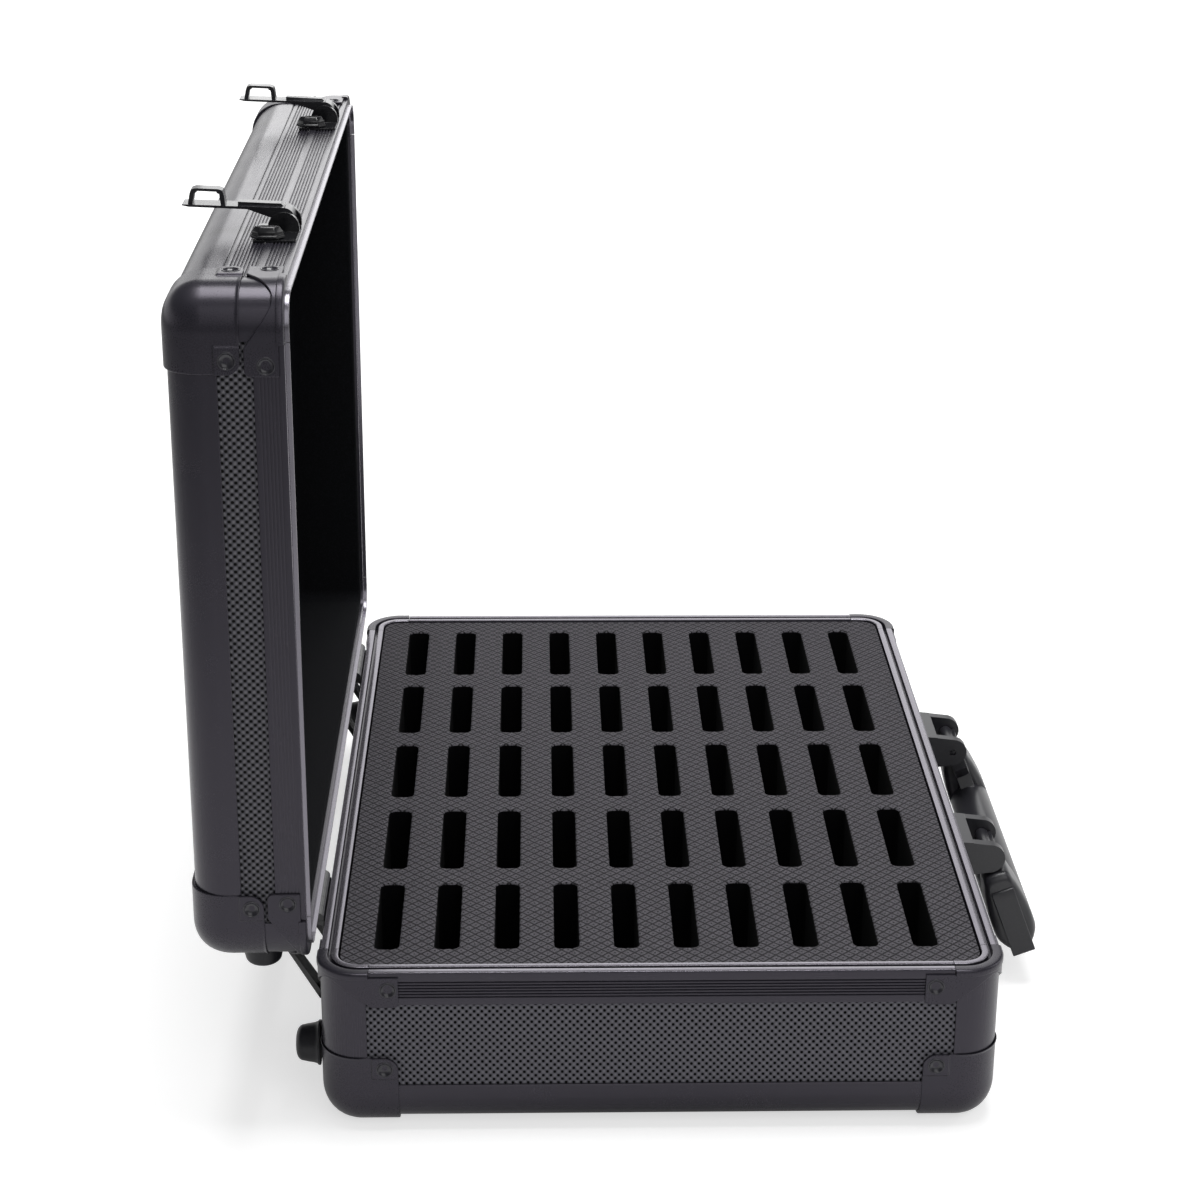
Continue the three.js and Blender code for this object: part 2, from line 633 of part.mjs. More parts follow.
// Hinges
// Five knuckles: three on the base leaf, two on the lid leaf, one pin held by the base leaf. A slanting stay
// at each end of the base leaf stops the lid when it stands open.
const leafFace = BACK_Y + STAND_OFF;
const knuckleSpan = HINGE_WIDTH / 5;
const knuckleSpans = (x, which) => which.map((k) => {
  const from = x - HINGE_WIDTH / 2 + k * knuckleSpan;
  return [from + FIT / 2, from + knuckleSpan - FIT / 2];
});
const buildHinge = (side, x) => {
  const x0 = x - HINGE_WIDTH / 2;
  const x1 = x + HINGE_WIDTH / 2;
  const own = knuckleSpans(x, [0, 2, 4]);
  const other = knuckleSpans(x, [1, 3]);
  const low = HINGE_Z - BASE_LEAF_DROP;
  const slope = Math.tan(THREE.MathUtils.degToRad(STOP_ANGLE));
  const face = leafFace + LEAF;
  const stayTop = HINGE_Z + HINGE_OFFSET - STAND_OFF - LEAF - FIT;
  const reach = slope * (stayTop - low);
  const stayOutline = [
    [leafFace, low + STOP_LEAF], [leafFace, low], [face, low - STOP_TOE],
    [face + STOP_THICK, low - STOP_TOE / 2], [face + STOP_THICK + reach, stayTop], [face + reach, stayTop],
    [face, low + STOP_ROOT], [face, low + STOP_LEAF],
  ];
  const stays = [slabX(stayOutline, x0 - STOP_WIDTH, x0 + 1), slabX(stayOutline, x1 - 1, x1 + STOP_WIDTH)];
  const leaf = box(x0, x1, leafFace, face, low, HINGE_Z - KNUCKLE - 0.6);
  const neck = slabX([
    [leafFace, HINGE_Z - KNUCKLE - 1], [leafFace + LEAF, HINGE_Z - KNUCKLE - 1],
    [HINGE_Y + 0.4, HINGE_Z - KNUCKLE + 0.2], [HINGE_Y - 0.5, HINGE_Z - 1.4], [leafFace + 0.5, HINGE_Z - 1],
    [leafFace, HINGE_Z - 1.4],
  ], x0, x1);
  const clearance = other.map(([a, b]) => rod(KNUCKLE + FIT, a - FIT, b + FIT, HINGE_Y, HINGE_Z));
  const baseKnuckles = own.map(([a, b]) => rod(KNUCKLE, a, b, HINGE_Y, HINGE_Z));
  const pin = rod(PIN, x0 + 1, x1 - 1, HINGE_Y, HINGE_Z, 14);
  const body = cut(join(leaf, ...stays, neck), ...clearance);
  piece(`hinge_base_leaf_${side}`, join(body, ...baseKnuckles, pin), blackened);

  const lidLeaf = box(x0, x1, leafFace, face, LID_RIM_Z + KNUCKLE + 0.4, LID_RIM_Z + LID_LEAF_RISE);
  const lidNeck = slabX([
    [leafFace, HINGE_Z + 1.4], [leafFace + 0.5, HINGE_Z + 1], [HINGE_Y - 0.5, HINGE_Z + 1.4],
    [HINGE_Y + 0.4, HINGE_Z + KNUCKLE - 0.2], [face, HINGE_Z + KNUCKLE + 1],
    [leafFace, HINGE_Z + KNUCKLE + 1],
  ], x0, x1);
  const lidClearance = own.map(([a, b]) => rod(KNUCKLE + FIT, a - FIT, b + FIT, HINGE_Y, HINGE_Z));
  const lidKnuckles = other.map(([a, b]) => rod(KNUCKLE, a, b, HINGE_Y, HINGE_Z));
  const bore = rod(PIN + FIT, x0 - 1, x1 + 1, HINGE_Y, HINGE_Z, 14);
  const lidBody = join(cut(join(lidLeaf, lidNeck), ...lidClearance), ...lidKnuckles);
  piece(`hinge_lid_leaf_${side}`, cut(lidBody, bore), blackened, swingOpen);
};
const HINGE_CENTRE = CASE_LENGTH / 2 - HINGE_FROM_END;
buildHinge('left', -HINGE_CENTRE);
buildHinge('right', HINGE_CENTRE);

// Feet
// A turned foot standing on a ball corner of the back wall, axis along +Y.
const foot = () => {
  const profile = [[0, 0], [FOOT_RADIUS, 0], [FOOT_RADIUS, 1.2], [FOOT_TIP + 1.2, FOOT_HEIGHT - 2],
    [FOOT_TIP, FOOT_HEIGHT - 0.5], [FOOT_TIP - 1, FOOT_HEIGHT], [0, FOOT_HEIGHT]];
  return new THREE.LatheGeometry(profile.map(([r, h]) => new THREE.Vector2(r, h)), 20);
};
const footY = BACK_Y + STAND_OFF + CAP_THICKNESS + FIT;
const footX = CASE_LENGTH / 2 - FOOT_FROM_END;
for (const [name, x] of [['left', -footX], ['right', footX]]) {
  piece(`base_foot_${name}`, foot(), rubber, T(x, footY, BOTTOM + FOOT_RISE));
  const lidFootZ = LID_RIM_Z + LID_HEIGHT - LID_FOOT_RISE;
  piece(`lid_foot_${name}`, foot(), rubber, times(swingOpen, T(x, footY, lidFootZ)));
}

// Latches
// Drawn on the closed lid: out is the distance from the front wall, rise the distance above the lid rim.
const wallPoint = (out, rise) => [FRONT_Y - out, LID_RIM_Z + rise];
const cheekOutline = [
  wallPoint(LATCH_PLATE - 0.2, HASP_PIN_RISE - CHEEK_RADIUS),
  ...arc(CHEEK_OUT, HASP_PIN_RISE, CHEEK_RADIUS, -90, 90, 14).map(([out, rise]) => wallPoint(out, rise)),
  wallPoint(LATCH_PLATE - 0.2, HASP_PIN_RISE + CHEEK_RADIUS),
];
const buildLatch = (side, centre) => {
  const body = centre + BODY_OFFSET;
  const x0 = body - BODY_WIDTH / 2;
  const x1 = body + BODY_WIDTH / 2;
  const buttonX = centre + BUTTON_OFFSET;
  const slideFrom = buttonX - SLIDER_LENGTH / 2 - FIT;
  const slideTo = buttonX + SLIDER_LENGTH / 2 + BUTTON_TRAVEL + FIT;
  const slideHalf = SLIDER_HEIGHT / 2 + FIT;
  const plateOutline = roundedBox(slideFrom - PLATE_ROUND, x1, PLATE_LOW, LATCH_PLATE_RISE, PLATE_ROUND);
  const flat = prism(plateOutline, STAND_OFF / 2, LATCH_PLATE, [
    roundedBox(slideFrom, slideTo, BUTTON_RISE - slideHalf, BUTTON_RISE + slideHalf, FIT, 1),
  ]);
  flat.applyMatrix4(new THREE.Matrix4().makeBasis(
    new THREE.Vector3(1, 0, 0), new THREE.Vector3(0, 0, 1), new THREE.Vector3(0, -1, 0)));
  flat.translate(0, FRONT_Y, LID_RIM_Z);
  const h0 = x0 + CHEEK + FIT;
  const h1 = x1 - CHEEK - FIT;
  const ledge0 = h0 + 3.4;
  const ledge1 = h1 - 2;
  // The folded hasp's ledge lies in this notch of the plate.
  const notch = box(ledge0 - FIT, ledge1 + FIT, FRONT_Y - LATCH_PLATE - 1, FRONT_Y,
    LID_RIM_Z, LID_RIM_Z + HASP_PIN_RISE - 0.4);
  const [pinY, pinZ] = wallPoint(HASP_PIN_OUT, HASP_PIN_RISE);
  const cheeks = [slabX(cheekOutline, x0, x0 + CHEEK), slabX(cheekOutline, x1 - CHEEK, x1)];
  const pin = rod(HASP_PIN, x0 + 0.6, x1 - 0.6, pinY, pinZ, 14);
  piece(`latch_body_${side}`, join(cut(flat, notch), ...cheeks, pin), blackened, swingOpen);

  // Hasp: a hub that turns between the cheeks, a plate with a raised ledge and a folded gusset, and the
  // strap staple near its end. At rest it stands a few degrees off the wall.
  const top = HASP_PIN_OUT + HASP_HUB;
  const under = top - HASP_SHEET;
  const end = HASP_PIN_RISE + HASP_LENGTH;
  const hub = rod(HASP_HUB, h0, h1, pinY, pinZ, 26);
  const sheet = slabX([
    wallPoint(under, HASP_PIN_RISE), wallPoint(under, end - 3), wallPoint(under + 0.5, end),
    wallPoint(top - 0.3, end), wallPoint(top, HASP_PIN_RISE),
  ], h0, h1);
  const ledge = slabX([
    wallPoint(top - 0.4, HASP_PIN_RISE), wallPoint(top - 0.4, HASP_PIN_RISE + STAPLE_NEAR - LEDGE_END),
    wallPoint(top + HASP_LEDGE, HASP_PIN_RISE + STAPLE_NEAR - LEDGE_END),
    wallPoint(top + HASP_LEDGE, HASP_PIN_RISE + 1.5),
  ], ledge0, ledge1);
  const gusset = slabX([
    wallPoint(under + 0.3, HASP_PIN_RISE + 1), wallPoint(under + 0.3, HASP_PIN_RISE + 17),
    wallPoint(under - HASP_GUSSET, HASP_PIN_RISE + 6), wallPoint(under - HASP_GUSSET, HASP_PIN_RISE + 1),
  ], h0 + 0.3, h0 + 1.4);
  const s0 = HASP_PIN_RISE + STAPLE_NEAR;
  const s1 = s0 + STAPLE_SPAN;
  const loop = top + STAPLE_HEIGHT;
  const strapEdge = (inset) => [
    wallPoint(under + 0.6, s0 + inset), wallPoint(loop - 2.2, s0 + STAPLE_LEAN + inset),
    wallPoint(loop - 0.6 - inset * 0.6, s0 + STAPLE_LEAN + 0.6 + inset * 1.2),
    wallPoint(loop - inset * 0.6, s0 + STAPLE_LEAN + 2.4 + inset * 0.4),
    wallPoint(loop - inset * 0.6, s1 - STAPLE_LEAN - 2.4 - inset * 0.4),
    wallPoint(loop - 0.6 - inset * 0.6, s1 - STAPLE_LEAN - 0.6 - inset * 1.2),
    wallPoint(loop - 2.2, s1 - STAPLE_LEAN - inset), wallPoint(under + 0.6, s1 - inset),
  ];
  const staple = slabX([...strapEdge(0), ...strapEdge(STAPLE_BAR).reverse()],
    body - STAPLE_WIDTH / 2, body + STAPLE_WIDTH / 2);
  const bore = rod(HASP_PIN + FIT, h0 - 1, h1 + 1, pinY, pinZ, 14);
  const rested = times(swingOpen, T(0, pinY, pinZ), RX(HASP_TILT), T(0, -pinY, -pinZ));
  piece(`latch_hasp_${side}`, cut(join(hub, sheet, ledge, gusset, staple), bore), plated, rested);

  // Release button: a bevelled six-sided grip on a guide tongue that runs in the plate slot.
  const hexagon = (inset, level) => {
    const side = BUTTON_WIDTH / 2 - inset;
    const point = BUTTON_LENGTH / 2 - inset;
    const shoulder = BUTTON_LENGTH / 2 - BUTTON_POINT - inset / 2;
    return [
      [-side, -shoulder], [0, -point], [side, -shoulder],
      [side, shoulder], [0, point], [-side, shoulder],
    ].map(([x, r]) => [buttonX + x, FRONT_Y - level, LID_RIM_Z + BUTTON_RISE + r]);
  };
  const seat = LATCH_PLATE + FIT;
  const stepLevel = seat + BUTTON_HEIGHT * 0.28;
  const bevelLevel = seat + BUTTON_HEIGHT * 0.6;
  const rings = [hexagon(0, seat), hexagon(0, stepLevel), hexagon(BUTTON_STEP, stepLevel),
    hexagon(BUTTON_STEP, bevelLevel), hexagon(BUTTON_STEP + BUTTON_BEVEL, seat + BUTTON_HEIGHT)];
  const skin = skinned(rings);
  const endRing = (rings.length - 1) * 6;
  for (let i = 1; i < 5; i += 1) skin.index.push(0, i + 1, i, endRing, endRing + i, endRing + i + 1);
  const [, tongueZ] = wallPoint(0, BUTTON_RISE);
  const tongue = box(buttonX - SLIDER_LENGTH / 2, buttonX + SLIDER_LENGTH / 2,
    FRONT_Y - seat - 0.5, FRONT_Y - STAND_OFF * 2, tongueZ - SLIDER_HEIGHT / 2, tongueZ + SLIDER_HEIGHT / 2);
  piece(`latch_button_${side}`, join(finished(skin), tongue), plated, swingOpen);

  // Keeper let into the front wall of the base; its slot takes the hasp's staple.
  const kz0 = RIM_Z + keeperLowV;
  const kz1 = RIM_Z + keeperTopV;
  const back = FRONT_Y - STAND_OFF;
  const deep = FRONT_Y + KEEPER_DEPTH;
  const cupHalf = keeperHalf + KEEPER_WALL;
  const cup = box(body - cupHalf, body + cupHalf, back - KEEPER_FLANGE / 2, deep + KEEPER_WALL,
    kz0 - KEEPER_WALL, kz1 + KEEPER_WALL);
  const flange = box(body - KEEPER_SPAN / 2, body + KEEPER_SPAN / 2, back - KEEPER_FLANGE, back,
    kz0 - KEEPER_LIP, kz1 + KEEPER_LIP);
  const slot = box(body - keeperHalf, body + keeperHalf, back - KEEPER_FLANGE - 1, deep, kz0, kz1);
  piece(`latch_keeper_${side}`, cut(join(cup, flange), slot), blackened);
};
buildLatch('left', -LATCH_CENTRE);
buildLatch('right', LATCH_CENTRE);

// Handle
const bracketY = FRONT_Y - STAND_OFF;
const pinY = FRONT_Y - HANDLE_PIN_OUT;
const pinZ = RIM_Z - HANDLE_PIN_DROP;
const earOutline = [
  [bracketY, pinZ - EAR_ROOT], ...arc(pinY, pinZ, EAR_RADIUS, 270, 90, 12), [bracketY, pinZ + EAR_ROOT],
];
for (const [side, sign] of [['left', -1], ['right', 1]]) {
  const x0 = sign * BRACKET_CENTRE - BRACKET_WIDTH / 2;
  const x1 = sign * BRACKET_CENTRE + BRACKET_WIDTH / 2;
  const block = slabX([
    [bracketY, pinZ - EAR_ROOT - 3], [bracketY - BRACKET_BASE, pinZ - EAR_ROOT - 1],
    [bracketY - BRACKET_BASE, pinZ + EAR_ROOT - 0.6], [bracketY, pinZ + EAR_ROOT],
  ], x0, x1);
  const ears = [slabX(earOutline, x0, x0 + EAR), slabX(earOutline, x1 - EAR, x1)];
  // The pin is pushed in from the inner ear, and the outer ear's bore is blind.
  const boreFrom = sign > 0 ? x0 - 1 : x0 + PIN_COVER;
  const boreTo = sign > 0 ? x1 - PIN_COVER : x1 + 1;
  const bore = rod(HANDLE_PIN + FIT, boreFrom, boreTo, pinY, pinZ, 18);
  piece(`handle_bracket_${side}`, cut(join(block, ...ears), bore), moulded);
}

// Handle drawn in its own plane: X along the case, r away from the pivot line, t towards the case; it is
// then tilted. A flat core makes the loop and the square ends, and rounded pads cover it on both faces.
const eye0 = BRACKET_CENTRE - BRACKET_WIDTH / 2 + EAR + FIT;
const eye1 = BRACKET_CENTRE + BRACKET_WIDTH / 2 - EAR - FIT;
const outerLoop = [
  [eye0, 0], [eye1, 0], [eye1, 10], [HANDLE_HALF - 1, 17], [HANDLE_HALF, 21],
  [HANDLE_HALF, HANDLE_REACH - 0.8], [HANDLE_HALF - 0.8, HANDLE_REACH],
];
const innerLoop = [
  [BRACKET_CENTRE - 15, 32], [BRACKET_CENTRE - 6, 28.5], [BRACKET_CENTRE - 3, 22], [eye0 + 1, 14],
];
const mirrored = (points) => points.map(([x, r]) => [-x, r]).reverse();
const loop = [...outerLoop, ...mirrored(outerLoop), ...mirrored(innerLoop), ...innerLoop];
const core = prism(loop, -CORE_OUT, CORE_IN);
const padMiddle = HANDLE_REACH - PAD_INSET - GRIP_DEPTH / 2;
const padHalf = PAD_THICK / 2;
const gripOutline = arc(0, padMiddle, 1, 0, 330, 11)
  .map(([a, b]) => [a * padHalf, padMiddle + (b - padMiddle) * GRIP_DEPTH / 2]);
const armPad = [
  [5, 9], [7.6, 15], [9.4, 24], [padHalf, 36], [padHalf - 1, 45], [padHalf - 4, 50.5], [padHalf - 7, 52],
];
const padOutline = [...armPad, ...mirrored(armPad)];
// A pad outline given as (t, r), drawn out along the case; both arms' pads are alike, so the turn is free.
const padX = (points, x0, x1) => {
  const g = prism(points, x0, x1);
  g.applyMatrix4(new THREE.Matrix4().makeBasis(
    new THREE.Vector3(0, 0, 1), new THREE.Vector3(0, 1, 0), new THREE.Vector3(-1, 0, 0)));
  return g;
};
const padEnd = HANDLE_HALF - PAD_INSET;
const pads = [
  padX(gripOutline, -padEnd, padEnd), padX(padOutline, BRACKET_CENTRE - 3, padEnd),
  padX(padOutline, -padEnd, 3 - BRACKET_CENTRE),
];
const barrels = [rod(HANDLE_BARREL, eye0, eye1, 0, 0, 18), rod(HANDLE_BARREL, -eye1, -eye0, 0, 0, 18)];
const pin0 = BRACKET_CENTRE - BRACKET_WIDTH / 2 + PIN_PLAY;
const pin1 = BRACKET_CENTRE + BRACKET_WIDTH / 2 - PIN_COVER - PIN_PLAY;
const pins = [rod(HANDLE_PIN, pin0, pin1, 0, 0, 18), rod(HANDLE_PIN, -pin1, -pin0, 0, 0, 18)];
const hang = times(T(0, pinY, pinZ), RX(-90 - HANDLE_TILT));
piece('carrying_handle', join(core, ...pads, ...barrels, ...pins), moulded, hang);

export default group;
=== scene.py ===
"""Looks of an aluminium-framed coin case that stands open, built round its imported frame."""
import json
import logging
import math
from dataclasses import dataclass, field
from enum import Enum
from typing import Iterable, Optional, Sequence, Union

import bmesh
import bpy
import numpy as np
from mathutils import Matrix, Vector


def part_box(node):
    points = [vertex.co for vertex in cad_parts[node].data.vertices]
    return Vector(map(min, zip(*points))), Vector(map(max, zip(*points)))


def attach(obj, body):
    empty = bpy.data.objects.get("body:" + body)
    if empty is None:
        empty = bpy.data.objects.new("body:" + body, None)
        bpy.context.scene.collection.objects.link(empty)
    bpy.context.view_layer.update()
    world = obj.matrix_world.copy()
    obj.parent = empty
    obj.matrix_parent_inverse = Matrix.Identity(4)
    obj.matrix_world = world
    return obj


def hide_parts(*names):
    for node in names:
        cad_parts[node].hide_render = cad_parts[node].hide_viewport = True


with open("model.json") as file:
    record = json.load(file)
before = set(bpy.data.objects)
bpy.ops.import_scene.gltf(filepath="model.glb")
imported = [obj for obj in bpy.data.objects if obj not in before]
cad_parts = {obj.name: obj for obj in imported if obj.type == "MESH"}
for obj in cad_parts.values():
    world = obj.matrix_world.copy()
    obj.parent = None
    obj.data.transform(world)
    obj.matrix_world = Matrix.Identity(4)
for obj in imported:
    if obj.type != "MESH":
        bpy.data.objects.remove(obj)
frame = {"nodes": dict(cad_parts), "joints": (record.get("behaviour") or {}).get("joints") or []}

LOG = logging.getLogger("coin_case")
MM = 0.001
# Where a sheet's first and last stations lie, in millimetres past a turn and before an edge.
FIRST_LEG = 0.3
EDGE_BAND = 0.7
EDGE_STEPS = (0.45, 0.22, 0.06, 0.0)
# What counts as one point, in metres, and as one flat face, in degrees.
WELD_M = 2e-6
FLAT_DEGREES = 0.6
# Rings in a cushion's rolled end, and how much of the roll its last ring may be pulled in.
ROLL_STEPS = 8
MOST_PULL = 0.97


class Half(Enum):
    """The two shells of the case; the value is also the name of the body they ride on."""

    BASE = "base"
    LID = "lid"


class Run(Enum):
    """Direction in which a piece was extruded or brushed, as a world axis index."""

    ALONG_X = 0
    ALONG_Y = 1
    ALONG_Z = 2
    NONE = 3


# Numbers and placement


def shift(x: float, y: float, z: float) -> np.ndarray:
    """Moves by (x, y, z).

    Args:
        x: way along the case, in millimetres.
        y: way across it.
        z: way up.

    Returns:
        The 4 by 4 matrix.
    """
    m = np.eye(4)
    m[:3, 3] = (x, y, z)
    return m


def turn_x(degrees: float) -> np.ndarray:
    """Turns about the X axis by the right-hand rule."""
    c, s = math.cos(math.radians(degrees)), math.sin(math.radians(degrees))
    return np.array([[1, 0, 0, 0], [0, c, -s, 0], [0, s, c, 0], [0, 0, 0, 1]], float)


def turn_z(degrees: float) -> np.ndarray:
    """Turns about the Z axis by the right-hand rule."""
    c, s = math.cos(math.radians(degrees)), math.sin(math.radians(degrees))
    return np.array([[c, -s, 0, 0], [s, c, 0, 0], [0, 0, 1, 0], [0, 0, 0, 1]], float)


def joint_place(name: str) -> np.ndarray:
    """Place of a joint at rest, in millimetres."""
    joint = next(j for j in frame["joints"] if j["name"] == name)
    return np.array(joint["pos_m"], float) / MM


def smooth_step(t: np.ndarray) -> np.ndarray:
    """Ease from 0 to 1: 3t^2 - 2t^3 on t held between 0 and 1."""
    t = np.clip(t, 0.0, 1.0)
    return t * t * (3.0 - 2.0 * t)


@dataclass(frozen=True)
class CaseSizes:
    """Outside sizes of the case in millimetres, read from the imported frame, and those of its sheet metal.

    The seam is what each end of a rim's lips stays clear of the joint between the straight and the corner.
    """

    length: float
    width: float
    bottom: float
    rim_z: float
    gap: float
    lid_height: float
    hinge_y: float
    hinge_z: float
    corner_radius: float = 18.0
    edge_radius: float = 16.0
    skin: float = 0.9
    edge_leg: float = 22.0
    stand_off: float = 0.2
    lip_run: float = 4.7
    lip_seam: float = 0.15

    @classmethod
    def from_frame(cls) -> "CaseSizes":
        """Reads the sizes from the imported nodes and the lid's joint.

        Returns:
            The sizes, in millimetres.
        """
        low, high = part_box("base_edge_frame")
        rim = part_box("base_rim_profile_right")[1].z / MM
        _, hinge_y, hinge_z = (float(v) for v in joint_place("lid_hinge"))
        gap = 2 * (hinge_z - rim)
        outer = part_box("lid_edge_frame")[1].y / MM
        return cls(
            length=(high.x - low.x) / MM, width=(high.y - low.y) / MM, bottom=low.z / MM, rim_z=rim, gap=gap,
            lid_height=outer - hinge_y - gap / 2, hinge_y=hinge_y, hinge_z=hinge_z,
        )

    def swing_open(self) -> np.ndarray:
        """Turns what is drawn on the closed case to where the open lid stands."""
        pivot = shift(0, self.hinge_y, self.hinge_z)
        return pivot @ turn_x(-90) @ np.linalg.inv(pivot)

    def place(self, half: Half) -> np.ndarray:
        """Matrix from a shell's own frame, panel down and rim up, to the row frame.

        Args:
            half: which shell.

        Returns:
            The 4 by 4 matrix; the lid's also turns it over and swings it open.
        """
        if half is Half.BASE:
            return shift(0, 0, self.bottom)
        closed = shift(0, 0, self.rim_z + self.gap + self.lid_height) @ turn_x(180)
        return self.swing_open() @ closed

    def height(self, half: Half) -> float:
        """Height of a shell from its panel to its rim."""
        return self.rim_z - self.bottom if half is Half.BASE else self.lid_height

    def corners(self, half: Half) -> Iterable[tuple[str, np.ndarray]]:
        """Names of the four corners with the matrix of each, in the row frame.

        Args:
            half: which shell.

        Returns:
            Pairs of a name, such as back_right, and a 4 by 4 matrix.
        """
        flip = -1 if half is Half.LID else 1
        cx, cy = self.length / 2 - self.corner_radius, self.width / 2 - self.corner_radius
        for x, y, turn in ((1, 1, 0), (-1, 1, 90), (-1, -1, 180), (1, -1, 270)):
            name = f"{'back' if y * flip > 0 else 'front'}_{'right' if x > 0 else 'left'}"
            yield name, self.place(half) @ shift(x * cx, y * cy, 0) @ turn_z(turn)


# Meshes


@dataclass
class Surface:
    """Points in millimetres and the faces that join them, grown piece by piece."""

    points: list[np.ndarray] = field(default_factory=list)
    faces: list[Sequence[int]] = field(default_factory=list)
    shades: list[int] = field(default_factory=list)
    count: int = 0

    def add(self, points: np.ndarray, faces: Iterable[Sequence[int]], shades: Sequence[int] = ()) -> None:
        """Adds a block of points with faces numbered from that block's first point.

        Args:
            points: array whose last axis holds x, y, z.
            faces: index lists into the block.
            shades: material index of each face; all 0 when left out.
        """
        flat = np.asarray(points, float).reshape(-1, 3)
        new = [[int(i) + self.count for i in face] for face in faces]
        self.points.append(flat)
        self.faces += new
        self.shades += [int(v) for v in shades] if len(shades) else [0] * len(new)
        self.count += len(flat)

    def moved(self, matrix: np.ndarray) -> np.ndarray:
        """All points carried by a matrix."""
        flat = np.concatenate(self.points)
        return flat @ matrix[:3, :3].T + matrix[:3, 3]


def grid_faces(rows: int, cols: int, wrap_rows: bool = False, wrap_cols: bool = False) -> np.ndarray:
    """Quads between neighbours of a rows by cols grid of points, closing on itself where asked.

    Args:
        rows: rows of points.
        cols: points in a row.
        wrap_rows: whether the last row joins the first.
        wrap_cols: whether the last point of each row joins its first.

    Returns:
        Array of faces by four point numbers.
    """
    i = np.arange(rows if wrap_rows else rows - 1)
    j = np.arange(cols if wrap_cols else cols - 1)
    a, b = np.meshgrid(i, j, indexing="ij")
    a2, b2 = (a + 1) % rows, (b + 1) % cols
    quads = np.stack([a * cols + b, a * cols + b2, a2 * cols + b2, a2 * cols + b], -1)
    return quads.reshape(-1, 4)


def add_tube(surface: Surface, rings: np.ndarray, closed: bool = False, shades: Sequence[int] = ()) -> None:
    """Joins rings of equal count into a skin.

    Args:
        surface: receives the skin.
        rings: array of rings by points by x, y, z.
        closed: whether the last ring joins the first; an open run gets a flat cap at each end.
        shades: material index of each strip between two neighbouring points of the rings.
    """
    rows, cols = rings.shape[:2]
    quads = grid_faces(rows, cols, wrap_rows=closed, wrap_cols=True)
    tones = np.tile(np.asarray(shades, int) if len(shades) else np.zeros(cols, int), len(quads) // cols)
    faces: list[Sequence[int]] = list(quads)
    if not closed:
        faces.append(list(range(cols))[::-1])
        faces.append([(rows - 1) * cols + j for j in range(cols)])
        tones = np.append(tones, [tones[0]] * 2)
    surface.add(rings, faces, tones)


def add_sheet(surface: Surface, outer: np.ndarray, inner: np.ndarray) -> None:
    """Two grids of the same size, an outside and an inside, closed along all four borders.

    Args:
        surface: receives the sheet.
        outer: rows by columns of points.
        inner: the points behind them, in the same order.
    """
    rows, cols = outer.shape[:2]
    quads = grid_faces(rows, cols)
    n = rows * cols
    border = np.concatenate([
        np.arange(cols - 1), np.arange(rows - 1) * cols + cols - 1,
        (rows - 1) * cols + np.arange(cols - 1, 0, -1), np.arange(rows - 1, 0, -1) * cols,
    ])
    nxt = np.roll(border, -1)
    walls = np.stack([border, border + n, nxt + n, nxt], -1)
    surface.add(np.stack([outer, inner]), [*quads, *(quads[:, ::-1] + n), *walls])


def make_piece(name: str, surface: Surface, matrix: np.ndarray, finishes: Sequence[bpy.types.Material],
               sharp: float = 35.0, weld: float = 0.0) -> bpy.types.Object:
    """Turns a surface into an object at the origin, in metres, with outward faces.

    Args:
        name: name of the new piece.
        surface: the points and faces, in millimetres.
        matrix: carries the points to the row frame.
        finishes: one material per shade number.
        sharp: edges steeper than this many degrees stay crisp.
        weld: points nearer than this many millimetres are merged.

    Returns:
        The new object, linked to the scene.
    """
    mesh = bpy.data.meshes.new(name)
    mesh.from_pydata((surface.moved(matrix) * MM).tolist(), [], surface.faces)
    for finish in finishes:
        mesh.materials.append(finish)
    mesh.polygons.foreach_set("material_index", np.array(surface.shades, np.int32))
    cleaned = bmesh.new()
    cleaned.from_mesh(mesh)
    if weld > 0:
        bmesh.ops.remove_doubles(cleaned, verts=cleaned.verts, dist=weld * MM)
    bmesh.ops.recalc_face_normals(cleaned, faces=cleaned.faces)
    cleaned.to_mesh(mesh)
    cleaned.free()
    mesh.polygons.foreach_set("use_smooth", np.ones(len(mesh.polygons), bool))
    mesh.set_sharp_from_angle(angle=math.radians(sharp))
    piece = bpy.data.objects.new(name, mesh)
    bpy.context.scene.collection.objects.link(piece)
    return piece


def add_bevel(piece: bpy.types.Object, width: float, segments: int = 2, angle: float = 30.0) -> None:
    """Rounds the steep edges of a piece.

    Args:
        piece: the object.
        width: width of the rounding in millimetres.
        segments: faces across it.
        angle: edges steeper than this many degrees are rounded.
    """
    bevel = piece.modifiers.new("edges", "BEVEL")
    bevel.width = width * MM
    bevel.segments = segments
    bevel.limit_method = "ANGLE"
    bevel.angle_limit = math.radians(angle)
    bevel.use_clamp_overlap = True


def settle(piece: bpy.types.Object, body: str, slot: str, nodes: Sequence[str] = ()) -> bpy.types.Object:
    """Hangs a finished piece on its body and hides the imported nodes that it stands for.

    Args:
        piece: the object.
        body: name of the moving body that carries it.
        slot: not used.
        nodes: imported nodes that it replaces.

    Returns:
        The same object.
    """
    if nodes:
        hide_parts(*nodes)
    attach(piece, body)
    LOG.info("%s rides on %s", piece.name, body)
    return piece


def arc(centre: tuple[float, float], radius: float, start: float, end: float, steps: int) -> np.ndarray:
    """Points on a circle from one angle to another, in degrees."""
    a = np.radians(np.linspace(start, end, steps + 1))
    return np.stack([centre[0] + radius * np.cos(a), centre[1] + radius * np.sin(a)], -1)


